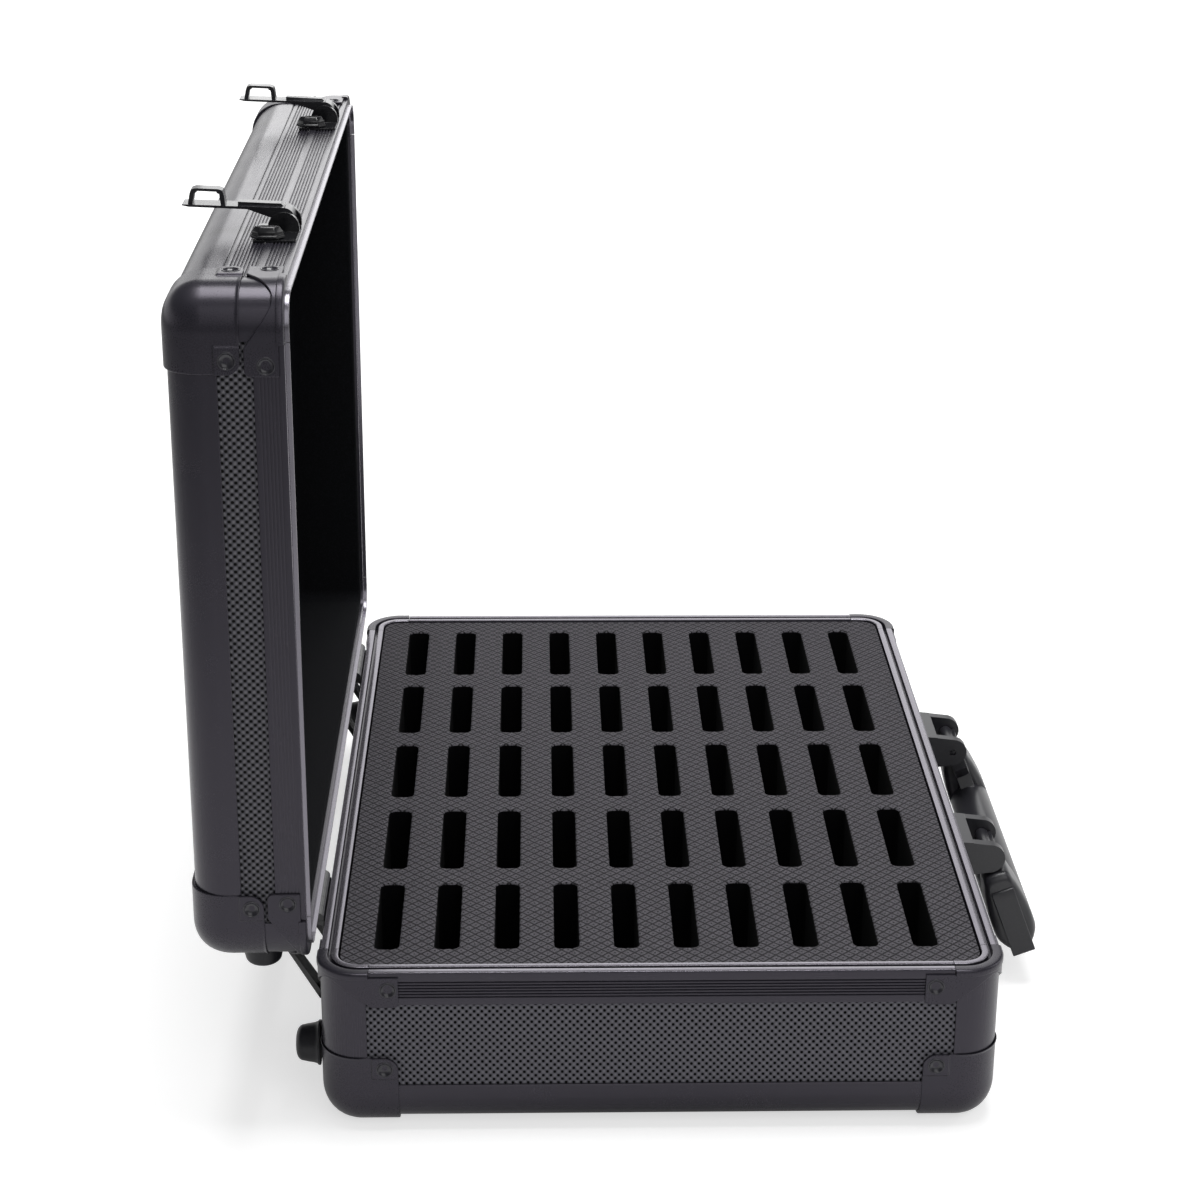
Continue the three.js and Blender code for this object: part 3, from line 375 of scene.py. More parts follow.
def rounded_outline(points: np.ndarray, radii: Sequence[float], steps: int = 3) -> np.ndarray:
    """Replaces each corner of a closed outline by a short arc-like curve.

    The curve is the quadratic through the two points that lie the corner's radius away along its sides.

    Args:
        points: the corners in order.
        radii: how far from each corner its curve starts; 0 keeps it sharp.
        steps: straight pieces in each curve.

    Returns:
        The points of the rounded outline.
    """
    points = np.asarray(points, float)
    before, after = np.roll(points, 1, 0) - points, np.roll(points, -1, 0) - points
    out = []
    for corner, a, b, r in zip(points, before, after, radii):
        if r <= 0:
            out.append(corner[None])
            continue
        t = np.linspace(0, 1, steps + 1)[:, None]
        p = corner + a / np.linalg.norm(a) * min(r, np.linalg.norm(a) / 2)
        q = corner + b / np.linalg.norm(b) * min(r, np.linalg.norm(b) / 2)
        out.append((1 - t) ** 2 * p + 2 * t * (1 - t) * corner + t ** 2 * q)
    return np.concatenate(out)


def circle(radius: float, steps: int) -> np.ndarray:
    """Points once round a circle about the origin."""
    return arc((0, 0), radius, 0, 360, steps)[:-1]


def smooth_loop(points: np.ndarray, steps: int) -> np.ndarray:
    """Closed curve through all points; each stretch is a cubic with slopes from the neighbouring points.

    Args:
        points: the points in order.
        steps: points to each stretch.

    Returns:
        The curve's points.
    """
    p0, p1, p2, p3 = (np.roll(points, k, 0)[:, None] for k in (1, 0, -1, -2))
    t = (np.arange(steps) / steps)[None, :, None]
    curve = 0.5 * (2 * p1 + (p2 - p0) * t + (2 * p0 - 5 * p1 + 4 * p2 - p3) * t ** 2
                   + (3 * p1 - p0 - 3 * p2 + p3) * t ** 3)
    return curve.reshape(-1, points.shape[1])


def add_cushion(surface: Surface, outline: np.ndarray, start: float, end: float, roll: float,
                shade: int = 0) -> None:
    """Draws an outline out along X and rolls its ends in.

    Each ring is the outline pulled towards its middle by r - sqrt(r^2 - (r - e)^2), e from the end.

    Args:
        surface: receives the mesh.
        outline: points across X.
        start: lowest X.
        end: highest X.
        roll: radius of the rolled ends.
        shade: material index.
    """
    e = roll * (1 - np.cos(np.linspace(0, math.pi / 2, ROLL_STEPS)))
    pull = roll - np.sqrt(np.maximum(roll ** 2 - (roll - e) ** 2, 0))
    x = np.concatenate([start + e, end - e[::-1]])
    pull = np.minimum(np.concatenate([pull, pull[::-1]]), MOST_PULL * roll)
    middle = outline.mean(0)
    away = outline - middle
    size = np.linalg.norm(away, axis=1)[None, :, None]
    flat = middle + away * (1 - pull[:, None, None] / size)
    rings = np.concatenate([np.broadcast_to(x[:, None, None], (*flat.shape[:2], 1)), flat], -1)
    add_tube(surface, rings, shades=[shade] * len(outline))


# Materials


def linear(code: str) -> tuple[float, float, float, float]:
    """Turns an sRGB colour into linear light.

    Each channel c becomes c / 12.92 up to 0.04045, and ((c + 0.055) / 1.055) to the power 2.4 above it.

    Args:
        code: a hash sign and six hex digits.

    Returns:
        Red, green and blue, and full opacity.
    """
    values = np.array([int(code[i:i + 2], 16) for i in (1, 3, 5)]) / 255.0
    light = np.where(values <= 0.04045, values / 12.92, ((values + 0.055) / 1.055) ** 2.4)
    return (*(float(v) for v in light), 1.0)


class Wiring:
    """The node tree of a material or of the world, with short ways to add and join its nodes."""

    def __init__(self, tree: bpy.types.NodeTree) -> None:
        """Keeps the tree."""
        self.tree = tree

    def feed(self, socket: bpy.types.NodeSocket, source: object) -> None:
        """Links another node's output to an input, or sets the input's value.

        Args:
            socket: the input.
            source: an output socket or a value.
        """
        if isinstance(source, bpy.types.NodeSocket):
            self.tree.links.new(source, socket)
        else:
            socket.default_value = source

    def add(self, kind: str, settings: Optional[dict] = None,
            inputs: Optional[dict] = None) -> bpy.types.Node:
        """Adds a node with its settings and what goes into it.

        Args:
            kind: Blender's type name of the node.
            settings: attributes to set on the node.
            inputs: output sockets or values, by input name or number.

        Returns:
            The node.
        """
        node = self.tree.nodes.new(kind)
        for key, value in (settings or {}).items():
            setattr(node, key, value)
        for key, source in (inputs or {}).items():
            self.feed(node.inputs[key], source)
        return node

    def calc(self, operation: str, *sources: Union[float, bpy.types.NodeSocket]) -> bpy.types.NodeSocket:
        """Output of a maths node that is fed, in order, by numbers or by other nodes' outputs."""
        return self.add("ShaderNodeMath", {"operation": operation}, dict(enumerate(sources))).outputs[0]

    def scaled(self, colour: object, factor: bpy.types.NodeSocket) -> bpy.types.NodeSocket:
        """A colour, given as a value or an output, times a factor."""
        inputs = {0: colour, "Scale": factor}
        return self.add("ShaderNodeVectorMath", {"operation": "SCALE"}, inputs).outputs[0]

    def remap(self, source: bpy.types.NodeSocket, span: Sequence[float], to: Sequence[float] = (0.0, 1.0),
              eased: bool = True) -> bpy.types.NodeSocket:
        """Carries one range of a value onto another and holds it at both ends.

        Args:
            source: output with the value.
            span: where the range starts and ends.
            to: what its start and end become.
            eased: whether the way between is 3t^2 - 2t^3 and not a straight line.

        Returns:
            The output with the new value.
        """
        shape = {"interpolation_type": "SMOOTHSTEP" if eased else "LINEAR"}
        ranges = {"From Min": span[0], "From Max": span[1], "To Min": to[0], "To Max": to[1]}
        return self.add("ShaderNodeMapRange", shape, {**ranges, "Value": source}).outputs[0]

    def blend(self, share: bpy.types.NodeSocket, low: object, high: object) -> bpy.types.NodeSocket:
        """Mixes two colours, each a value or an output, by the share of the second."""
        return self.add("ShaderNodeMix", {"data_type": "RGBA"}, {0: share, 6: low, 7: high}).outputs[2]

    def split(self, source: bpy.types.NodeSocket) -> Sequence[bpy.types.NodeSocket]:
        """The X, Y and Z outputs of a vector."""
        return self.add("ShaderNodeSeparateXYZ", inputs={0: source}).outputs

    def place(self, scale: Sequence[float] = (1, 1, 1)) -> bpy.types.NodeSocket:
        """Object coordinates stretched by a factor on each axis."""
        source = self.add("ShaderNodeTexCoord").outputs["Object"]
        return self.add("ShaderNodeMapping", inputs={"Scale": scale, "Vector": source}).outputs[0]

    def noise(self, grain_mm: float, place: bpy.types.NodeSocket, detail: float) -> bpy.types.Node:
        """Noise whose coarsest grains are about this many millimetres, with finer ones by the detail."""
        inputs = {"Scale": 1.0 / (grain_mm * MM), "Detail": detail, "Vector": place}
        return self.add("ShaderNodeTexNoise", inputs=inputs)

    def emboss(self, shader: bpy.types.Node, height: bpy.types.NodeSocket, strength: float,
               depth_mm: float) -> None:
        """Tilts a shader's normals as a height would, one unit of it being a depth in millimetres."""
        inputs = {"Strength": strength, "Distance": depth_mm * MM, "Height": height}
        self.feed(shader.inputs["Normal"], self.add("ShaderNodeBump", inputs=inputs).outputs[0])


@dataclass(frozen=True)
class Finish:
    """What every finish of the case has: a name, a colour and how it throws light back.

    The sheen's tint colours what a surface that isn't bare metal mirrors.
    """

    name: str
    colour: str
    roughness: float = 0.5
    metallic: float = 0.0
    specular: float = 0.5
    sheen_tint: str = "#ffffff"

    def start(self) -> tuple[bpy.types.Material, Wiring, bpy.types.Node]:
        """Makes the material and sets its shader's constants.

        Returns:
            The material, its wiring and its shader.
        """
        material = bpy.data.materials.new(self.name)
        material.use_nodes = True
        shader = material.node_tree.nodes["Principled BSDF"]
        shader.inputs["Base Color"].default_value = linear(self.colour)
        shader.inputs["Metallic"].default_value = self.metallic
        shader.inputs["Roughness"].default_value = self.roughness
        shader.inputs["Specular IOR Level"].default_value = self.specular
        shader.inputs["Specular Tint"].default_value = linear(self.sheen_tint)
        return material, Wiring(material.node_tree), shader


@dataclass(frozen=True)
class Metal(Finish):
    """Dark coat on drawn or pressed metal: dye in an oxide film, or lacquer on steel.

    The coat hides the bright metal, so it shines as a film does: hardly at all face on, and strongly where
    it is seen at a slant. The faint streaks are the lines that drawing leaves, and the patches are what the
    dye's bath leaves. Each swing is how far they move the roughness or the tone up and down.
    """

    streak_mm: float = 0.35
    streak_stretch: float = 60.0
    streak_depth: float = 0.02
    run: Run = Run.NONE
    rough_swing: float = 0.02
    tone_swing: float = 0.05
    patch_mm: float = 22.0
    noise_span: tuple[float, float] = (0.7, 1.3)
    relief: float = 0.08

    def build(self) -> bpy.types.Material:
        """Adds streaks and slow patches in the roughness and the tone, and the streaks alone in the bump.

        Returns:
            The material.
        """
        material, wiring, shader = self.start()
        scale = [1.0, 1.0, 1.0]
        if self.run is not Run.NONE:
            scale[self.run.value] = 1.0 / self.streak_stretch
        streaks = wiring.noise(self.streak_mm, wiring.place(scale), detail=3.0).outputs["Fac"]
        patches = wiring.noise(self.patch_mm, wiring.place(), detail=4.0).outputs["Fac"]
        both = wiring.calc("ADD", streaks, patches)
        span = self.noise_span
        rough = (self.roughness - self.rough_swing, self.roughness + self.rough_swing)
        wiring.feed(shader.inputs["Roughness"], wiring.remap(both, span, rough, eased=False))
        shade = wiring.remap(both, span, (1.0 - self.tone_swing, 1.0 + self.tone_swing), eased=False)
        wiring.feed(shader.inputs["Base Color"], wiring.scaled(linear(self.colour)[:3], shade))
        wiring.emboss(shader, streaks, self.relief, self.streak_depth)
        return material


@dataclass(frozen=True)
class DottedPanel(Finish):
    """Board faced with pressed plastic: rows of small pillows with a round hollow between each four.

    On each face the hollows lie on a lattice of two pitches with one more in the middle of each cell. A
    hollow is where the lattice's value peaks, and a pillow where it is lowest. The hollows' near-black
    colour is painted shade, and the pillows' paler tops are a painted highlight.
    """

    pitches_mm: tuple[float, float, float] = (3.44, 3.44, 3.70)
    # Near black for painted shade in the hollows, and a paler colour for a painted highlight on the pillows.
    pit_shade: str = "#030304"
    high: str = "#8d8c93"
    relief_mm: float = 0.8
    facing: float = 0.75
    pit_span: tuple[float, float] = (0.32, 0.55)
    pillow_span: tuple[float, float] = (-1.0, 0.35)
    pillow_height: float = 0.5

    def lattice(self, wiring: Wiring) -> bpy.types.NodeSocket:
        """The product of a cosine along each of the face's two axes.

        The axis that the face looks along counts as one: there the normal's part is past the facing value.

        Args:
            wiring: the material's node tree.

        Returns:
            The output with the product.
        """
        seen = wiring.add("ShaderNodeTexCoord").outputs
        parts, faces = wiring.split(seen["Object"]), wiring.split(seen["Normal"])
        product: Optional[bpy.types.NodeSocket] = None
        for axis, pitch in enumerate(self.pitches_mm):
            wave = wiring.calc("COSINE", wiring.calc("MULTIPLY", parts[axis], 2 * math.pi / (pitch * MM)))
            along = wiring.calc("GREATER_THAN", wiring.calc("ABSOLUTE", faces[axis]), self.facing)
            held = wiring.add("ShaderNodeMix", inputs={0: along, 2: wave, 3: 1.0}).outputs[0]
            product = held if product is None else wiring.calc("MULTIPLY", product, held)
        return product

    def build(self) -> bpy.types.Material:
        """Derives the colour, the roughness and the bump from the lattice.

        Returns:
            The material.
        """
        material, wiring, shader = self.start()
        lattice = self.lattice(wiring)
        # The hollows' mask darkens them to painted shade; the pillows' mask lightens their tops to a painted
        # highlight.
        shaded_pits = wiring.remap(lattice, self.pit_span)
        pillows = wiring.remap(lattice, self.pillow_span, (self.pillow_height, 0.0))
        pillow_highlight = wiring.blend(pillows, linear(self.colour), linear(self.high))
        wiring.feed(shader.inputs["Base Color"], wiring.blend(shaded_pits, pillow_highlight, linear(self.pit_shade)))
        rough = wiring.remap(shaded_pits, (0.0, 1.0), (self.roughness, 1.0), eased=False)
        wiring.feed(shader.inputs["Roughness"], rough)
        wiring.emboss(shader, wiring.calc("SUBTRACT", pillows, shaded_pits), 1.0, self.relief_mm)
        return material


@dataclass(frozen=True)
class EmbossedFoam(Finish):
    """Closed-cell foam with a pressed skin: crossed grooves at 45 degrees and a pin hole in each diamond.

    A groove lies where the cosine of x plus y, or of x less y, is near zero, and a hole where both are near
    one; the grooves sway a little, and the foam's fine cells speckle it. Grooves and holes are coloured
    near black, which is painted shade in these hollows of the skin.
    """

    diamond_mm: float = 6.05
    # Painted shade in the grooves and pin holes.
    groove: str = "#08080a"
    groove_span: tuple[float, float] = (0.05, 0.5)
    hole_span: tuple[float, float] = (0.9, 0.985)
    groove_shade_share: float = 0.88
    sway_mm: float = 0.8
    sway_grain_mm: float = 30.0
    cell_mm: float = 0.55
    cell_span: tuple[float, float] = (0.35, 0.7)
    cell_tones: tuple[float, float] = (0.6, 1.5)
    relief: float = 0.8
    relief_mm: float = 0.6

    def build(self) -> bpy.types.Material:
        """Adds the two families of grooves, the pin holes and the cells.

        Returns:
            The material.
        """
        material, wiring, shader = self.start()
        place = wiring.add("ShaderNodeTexCoord").outputs["Object"]
        wander = wiring.noise(self.sway_grain_mm, place, detail=2.0).outputs["Color"]
        inputs = {0: wander, 1: (self.sway_mm * MM, self.sway_mm * MM, 0.0), 2: place}
        bent = wiring.add("ShaderNodeVectorMath", {"operation": "MULTIPLY_ADD"}, inputs)
        parts = wiring.split(bent.outputs[0])
        waves = []
        for sign in ("ADD", "SUBTRACT"):
            across = wiring.calc(sign, parts[0], parts[1])
            angle = wiring.calc("MULTIPLY", across, math.pi / (self.diamond_mm * MM))
            waves.append(wiring.calc("ABSOLUTE", wiring.calc("COSINE", angle)))
        troughs = [wiring.remap(wave, self.groove_span, (1.0, 0.0)) for wave in waves]
        grooves = wiring.calc("MAXIMUM", *troughs)
        holes = wiring.remap(wiring.calc("MULTIPLY", *waves), self.hole_span)
        # Grooves and holes get the near-black groove colour: painted shade in the skin's hollows.
        dark = wiring.calc("MAXIMUM", grooves, holes)
        cells = wiring.noise(self.cell_mm, place, detail=3.0).outputs["Fac"]
        tone = wiring.blend(wiring.calc("MULTIPLY", dark, self.groove_shade_share), linear(self.colour),
                            linear(self.groove))
        speck = wiring.remap(cells, self.cell_span, self.cell_tones, eased=False)
        wiring.feed(shader.inputs["Base Color"], wiring.scaled(tone, speck))
        wiring.emboss(shader, wiring.calc("MULTIPLY_ADD", dark, -1.0, cells), self.relief, self.relief_mm)
        return material


@dataclass(frozen=True)
class Speckled(Finish):
    """Flocked or moulded surface with a fine grain: a dark ground with slightly lighter points."""

    light: str = "#1a1a1d"
    grain_mm: float = 0.8
    depth_mm: float = 0.15
    amount: float = 0.5
    grain_span: tuple[float, float] = (0.45, 0.75)
    relief: float = 0.5

    def build(self) -> bpy.types.Material:
        """Drives the colour and the bump by one noise.

        Returns:
            The material.
        """
        material, wiring, shader = self.start()
        grain = wiring.noise(self.grain_mm, wiring.place(), detail=4.0).outputs["Fac"]
        share = wiring.remap(grain, self.grain_span, (0.0, self.amount), eased=False)
        tone = wiring.blend(share, linear(self.colour), linear(self.light))
        wiring.feed(shader.inputs["Base Color"], tone)
        wiring.emboss(shader, grain, self.relief, self.depth_mm)
        return material


class Finishes:
    """Every material of the case, made once."""

    def __init__(self) -> None:
        """Builds the materials."""
        # Dyed oxide film on drawn aluminium: satin, dark face on and pale at a slant, with fine lines.
        anodised = dict(colour="#26252b", roughness=0.26, specular=0.45, sheen_tint="#f6eeff")
        self.frame_x = Metal("black_anodised_aluminium_along_x", run=Run.ALONG_X, **anodised).build()
        self.frame_y = Metal("black_anodised_aluminium_along_y", run=Run.ALONG_Y, **anodised).build()
        self.frame_z = Metal("black_anodised_aluminium_along_z", run=Run.ALONG_Z, **anodised).build()
        # The lips' top faces get a paler, more metallic finish, which is a painted highlight.
        self.lip = Metal("anodised_lip_painted_highlight", "#7d7a82", 0.24, 0.8, tone_swing=0.06).build()
        # Powder-thin black coat on pressed steel: the same dark satin without a grain.
        self.pressed = Metal("black_coated_pressed_steel", "#25242a", 0.28, 0.0, 0.42, "#f6eeff",
                             streak_mm=0.6, streak_depth=0.01).build()
        # Rivets come from the header polished, so their dishes show a crisp dark and light side.
        self.rivet = Metal("blackened_rivet_steel", "#2d2c32", 0.22, streak_mm=1.0,
                           streak_depth=0.004).build()
        # Thick glossy lacquer on the latches and hinges.
        self.lacquer = Metal("black_lacquered_steel", "#111114", 0.22, streak_mm=1.2, streak_depth=0.01,
                             rough_swing=0.05).build()
        # Dark plating: the metal itself reflects, but dimly.
        self.plated = Metal("dark_plated_steel", "#232327", 0.24, 0.3, streak_mm=0.8, streak_depth=0.008,
                            rough_swing=0.05).build()
        # Pressed pattern in satin plastic film over fibreboard; the lid's board is shinier, and its darker
        # colour is painted shade, as the lid's walls get less light.
        self.base_walls = DottedPanel("dotted_board_base", "#5b5a61", 0.4, specular=0.15).build()
        self.shaded_lid_walls = DottedPanel("dotted_board_lid_painted_shade", "#3d3c42", 0.32, specular=0.3,
                                     pitches_mm=(3.42, 3.60, 3.42)).build()
        # Closed-cell polyethylene foam, its skin pressed by a heated roller; matt and slightly grey.
        self.foam = EmbossedFoam("embossed_foam", "#504e53", 0.85, specular=0.2).build()
        # Die-cut walls of the slots: open cells that swallow some light, and near black as painted shade deep
        # in the slots.
        self.slot_foam_shaded = Speckled("cut_foam_painted_shade", "#050507", 0.95, specular=0.1, light="#0c0c0f").build()
        # Flocked liner: short black fibres with a few that catch light.
        self.lining = Speckled("flocked_lining", "#08090c", 0.95, specular=0.15, light="#191a1e",
                               amount=0.6).build()
        # Moulded rubber feet: dark and soft-looking.
        self.rubber = Speckled("moulded_rubber", "#17171b", 0.42, specular=0.3, light="#1f1f24", grain_mm=1.5,
                               depth_mm=0.03).build()
        # Moulded ABS of handle and brackets: smooth, with the fine spark texture of its mould.
        self.grip = Speckled("moulded_grip_plastic", "#242428", 0.33, light="#2c2b30", grain_mm=1.2,
                             depth_mm=0.03).build()


# Shell metalwork


@dataclass
class Stations:
    """Places along a path: a point of its inner line, the outward normal and the run from its middle."""

    base: np.ndarray
    normal: np.ndarray
    run: np.ndarray
    radius: float

    @property
    def half_turn(self) -> float:
        """Run along the outer face from a corner's middle to the start of its legs."""
        return self.radius * math.pi / 4

    @classmethod
    def corner(cls, radius: float, legs: Sequence[float], steps: int) -> "Stations":
        """A quarter turn about the corner's centre with a straight leg before and after it.

        Args:
            radius: of the outer face.
            legs: distances of the legs' stations past the turn.
            steps: stretches of the turn.

        Returns:
            The stations, from the leg along -Y round to the leg along -X.
        """
        t = np.sort(np.asarray(legs, float))
        a = np.linspace(0, math.pi / 2, steps + 1)
        half = radius * math.pi / 4
        zero, count = np.zeros_like(t), len(t)
        base = np.concatenate([
            np.stack([zero, -t[::-1]], -1), np.zeros((len(a), 2)), np.stack([-t, zero], -1)])
        turn = np.stack([np.cos(a), np.sin(a)], -1)
        normal = np.concatenate([np.tile([1.0, 0.0], (count, 1)), turn, np.tile([0.0, 1.0], (count, 1))])
        run = np.concatenate([-half - t[::-1], -half + radius * a, half + t])
        return cls(base, normal, run, radius)

    @classmethod
    def loop(cls, length: float, width: float, radius: float, steps: int) -> "Stations":
        """Once round a rectangle with rounded corners.

        Args:
            length: of the rectangle, along X.
            width: of the rectangle, along Y.
            radius: of its corners.
            steps: stretches of each corner.

        Returns:
            The stations, anticlockwise.
        """
        cx, cy = length / 2 - radius, width / 2 - radius
        bases, normals = [], []
        for quarter, (x, y) in enumerate(((cx, cy), (-cx, cy), (-cx, -cy), (cx, -cy))):
            a = math.pi / 2 * (quarter + np.linspace(0, 1, steps + 1))
            bases.append(np.tile([x, y], (steps + 1, 1)))
            normals.append(np.stack([np.cos(a), np.sin(a)], -1))
        base = np.concatenate(bases)
        return cls(base, np.concatenate(normals), np.zeros(len(base)), radius)

    def carry(self, inset: np.ndarray, level: np.ndarray) -> np.ndarray:
        """Points at insets from the outer face and at levels.

        Args:
            inset: distances inwards; an array that ends in the section's axis.
            level: heights, in the same order.

        Returns:
            Array of stations by section points by x, y, z.
        """
        inset, level = np.broadcast_arrays(np.atleast_2d(inset), np.atleast_2d(level))
        inset = np.broadcast_to(inset, (len(self.base), inset.shape[1]))
        level = np.broadcast_to(level, inset.shape)
        flat = self.base[:, None] + (self.radius - inset)[..., None] * self.normal[:, None]
        return np.concatenate([flat, level[..., None]], -1)


def near_edge(end: float, count: int) -> np.ndarray:
    """Evenly spread legs up to an end, with extra ones where the edge is rounded."""
    spread = np.linspace(FIRST_LEG, end - EDGE_BAND, count)
    return np.unique(np.concatenate([spread, end - np.array(EDGE_STEPS)]))


def rolled(distance: np.ndarray, radius: float) -> np.ndarray:
    """How far a face drops near an edge: r - sqrt(r^2 - x^2), x being the radius less the distance."""
    left = np.clip(radius - distance, 0, radius)
    return radius - np.sqrt(np.maximum(radius ** 2 - left ** 2, 0))


@dataclass(frozen=True)
class Rivet:
    """Head of a hollow rivet: a narrow proud ring and a smooth dish inside it.

    The sheet under it is pushed in deeper than the dish by the sink, and less wide by the clearance.
    """

    radius: float = 3.9
    ring: float = 0.2
    ring_width: float = 0.6
    dish: float = 1.15
    fall: float = 3.5
    root: float = 1.23
    middle: float = 0.2
    clearance: float = 0.1
    sink: float = 0.04
    steps: int = 36
    bowl_steps: int = 11
    crowding: float = 1.5
    ring_steps: int = 6

    def profile(self) -> np.ndarray:
        """Section from the hidden root over the ring and down the dish to its middle.

        The dish falls by its depth times one minus a power of the share of its radius, so it is steep at
        its edge and flat in the middle. Its points crowd at the edge.

        Returns:
            Radius and height pairs.
        """
        inner = self.radius - self.ring_width
        r = inner - (inner - self.middle) * np.linspace(0, 1, self.bowl_steps + 1) ** self.crowding
        bowl = np.stack([r, -self.dish * (1 - (r / inner) ** self.fall)], -1)
        across = np.linspace(0, math.pi, self.ring_steps + 1)[:-1]
        middle, half = self.radius - self.ring_width / 2, self.ring_width / 2
        crown = np.stack([middle + half * np.cos(across), self.ring * np.sin(across)], -1)
        return np.concatenate([[[self.radius, -self.root]], crown, bowl])

    def bowl(self, along: np.ndarray, level: np.ndarray) -> np.ndarray:
        """How far the sheet is pushed in under the head, at these distances from the rivet's middle."""
        share = np.hypot(along, level) / (self.radius - self.clearance)
        return (self.dish + self.sink) * np.clip(1 - share ** self.fall, 0, None)

    def add_pair(self, surface: Surface, run: float, reach: float, level: float, shade: int) -> None:
        """Adds the rivets of a corner's two legs.

        Args:
            surface: receives the meshes.
            run: distance of the rivets past the rounded corner.
            reach: distance of the sheet's face from the corner's centre.
            level: height of the rivets.
            shade: material index.
        """
        profile = self.profile()
        a = np.linspace(0, 2 * math.pi, self.steps + 1)[:-1]
        flat = profile[:, :1] * np.cos(a)
        rise = profile[:, :1] * np.sin(a)
        out = np.broadcast_to(reach + profile[:, 1:], flat.shape)
        for ways in ((out, flat - run), (flat - run, out)):
            add_tube(surface, np.stack([*ways, rise + level], -1), shades=[shade] * self.steps)


@dataclass
class BallCorner:
    """Pressed cap over an outer corner: two riveted tabs with raised pads, a rounded edge and a flat sole."""

    sizes: CaseSizes
    finish: bpy.types.Material
    rivet_finish: bpy.types.Material
    tab: float
    rivet: Rivet = Rivet()
    face: float = 0.4
    pad: float = 1.3
    sole: float = 1.5
    sole_growth: float = 1.4
    sole_lap: float = 0.3
    slab_inset: tuple[float, float] = (0.02, 0.05)
    run: float = 17.2
    tab_round: float = 6.0
    edge: float = 0.3
    edge_drops: tuple[float, ...] = (0.0, 0.06, 0.16, 0.3, 0.5)
    flare: float = 0.5
    flare_height: float = 1.4
    flare_fade: float = 5.0
    pad_run: float = 12.6
    pad_rise: float = 11.4
    pad_slope: float = 1.25
    slope_margin: float = 0.05
    rivet_end: float = 6.1
    rivet_drop: float = 5.4
    wall_start: float = 0.8
    slope_gaps: tuple[float, float] = (0.3, 0.4)
    leg_steps: int = 36
    turn_steps: int = 40
    arc_steps: int = 12
    slope_steps: tuple[int, int] = (9, 10)
    wall_steps: tuple[int, int] = (24, 14)

    def swell(self, along: np.ndarray, level: np.ndarray) -> np.ndarray:
        """How far the wall stands out: the face, the pad's two eased steps, and the rivet's hidden bowl.

        Args:
            along: distances past the rounded corner.
            level: heights.

        Returns:
            The distances from the extrusions' outer face.
        """
        inside = smooth_step((along - self.run + self.pad_run) / self.pad_slope)
        above = smooth_step((level - self.tab + self.pad_rise) / self.pad_slope)
        bowl = self.rivet.bowl(along - self.run + self.rivet_end, level - self.tab + self.rivet_drop)
        return self.face + (self.pad - self.face) * inside * above - bowl

    def legs(self) -> np.ndarray:
        """Distances of the stations past the turn: close together over the pad's slope and at the end."""
        slope = np.linspace(-self.slope_margin, self.pad_slope + self.slope_margin, self.slope_steps[0])
        return np.union1d(near_edge(self.run, self.leg_steps), self.run - self.pad_run + slope)

    def levels(self, top: np.ndarray) -> np.ndarray:
        """Heights of the wall's points: close together at the top edge and over the pad's slope.

        Args:
            top: height of the top edge at each station.

        Returns:
            Array of stations by heights, from the top edge down to the edge arc.
        """
        high = self.tab - self.pad_rise + self.pad_slope + self.slope_margin
        slope = high - np.linspace(0, self.pad_slope + 2 * self.slope_margin, self.slope_steps[1])
        over, under = self.slope_gaps
        upper = np.linspace(top - self.wall_start, slope[0] + over, self.wall_steps[0], axis=1)
        lower = np.linspace(slope[-1] - under, self.sizes.edge_radius, self.wall_steps[1])
        level = np.concatenate([slope, lower])
        return np.concatenate([top[:, None] - np.array(self.edge_drops), upper,
                               np.broadcast_to(level, (len(top), len(level)))], 1)

    def sheet(self, surface: Surface) -> None:
        """Lofts the cap's sheet.

        The wall falls from its level top edge, rolls round the edge arc and runs under. Near the top edge of
        the rounded corner the sheet flares out; towards the sole it grows to full thickness.

        Args:
            surface: receives the mesh.
        """
        s = self.sizes
        stations = Stations.corner(s.corner_radius, self.legs(), self.turn_steps)
        half = stations.half_turn
        d = np.abs(stations.run)
        top = self.tab - rolled(half + self.run - d, self.tab_round)
        wall = self.levels(top)
        drop = top[:, None] - wall
        ends = np.clip(half + self.run - d, 0, None)[:, None]
        corner = smooth_step((half + self.flare_fade - d) / self.flare_fade)[:, None]
        flare = self.flare * corner * smooth_step(1 - drop / self.flare_height)
        u_wall = -self.swell(d[:, None] - half, wall) - flare + rolled(np.minimum(drop, ends), self.edge)
        share = np.linspace(0, 1, self.arc_steps + 1)[1:]
        angle = np.radians(np.linspace(180, 270, self.arc_steps + 1)[1:])
        out = self.face + (self.sole - self.face) * smooth_step(share * self.sole_growth)
        lift = rolled(ends, self.edge)
        u_low = s.edge_radius + (s.edge_radius + out - lift) * np.cos(angle)
        z_low = s.edge_radius + (s.edge_radius + out - lift) * np.sin(angle)
        under = np.broadcast_to([s.edge_radius + 1, s.corner_radius], (len(d), 2))
        hollow = s.edge_radius + s.stand_off
        u_in = np.broadcast_to(s.edge_radius + hollow * np.cos(angle), u_low.shape)
        z_in = np.broadcast_to(s.edge_radius + hollow * np.sin(angle), z_low.shape)
        outside = stations.carry(np.concatenate([u_wall, u_low, under], 1), np.concatenate(
            [wall, z_low, np.broadcast_to(-self.sole + lift, under.shape)], 1))
        inside = stations.carry(np.concatenate([-s.stand_off - flare, u_in, under], 1), np.concatenate(
            [wall, z_in, np.full(under.shape, -s.stand_off)], 1))
        add_sheet(surface, outside, inside)

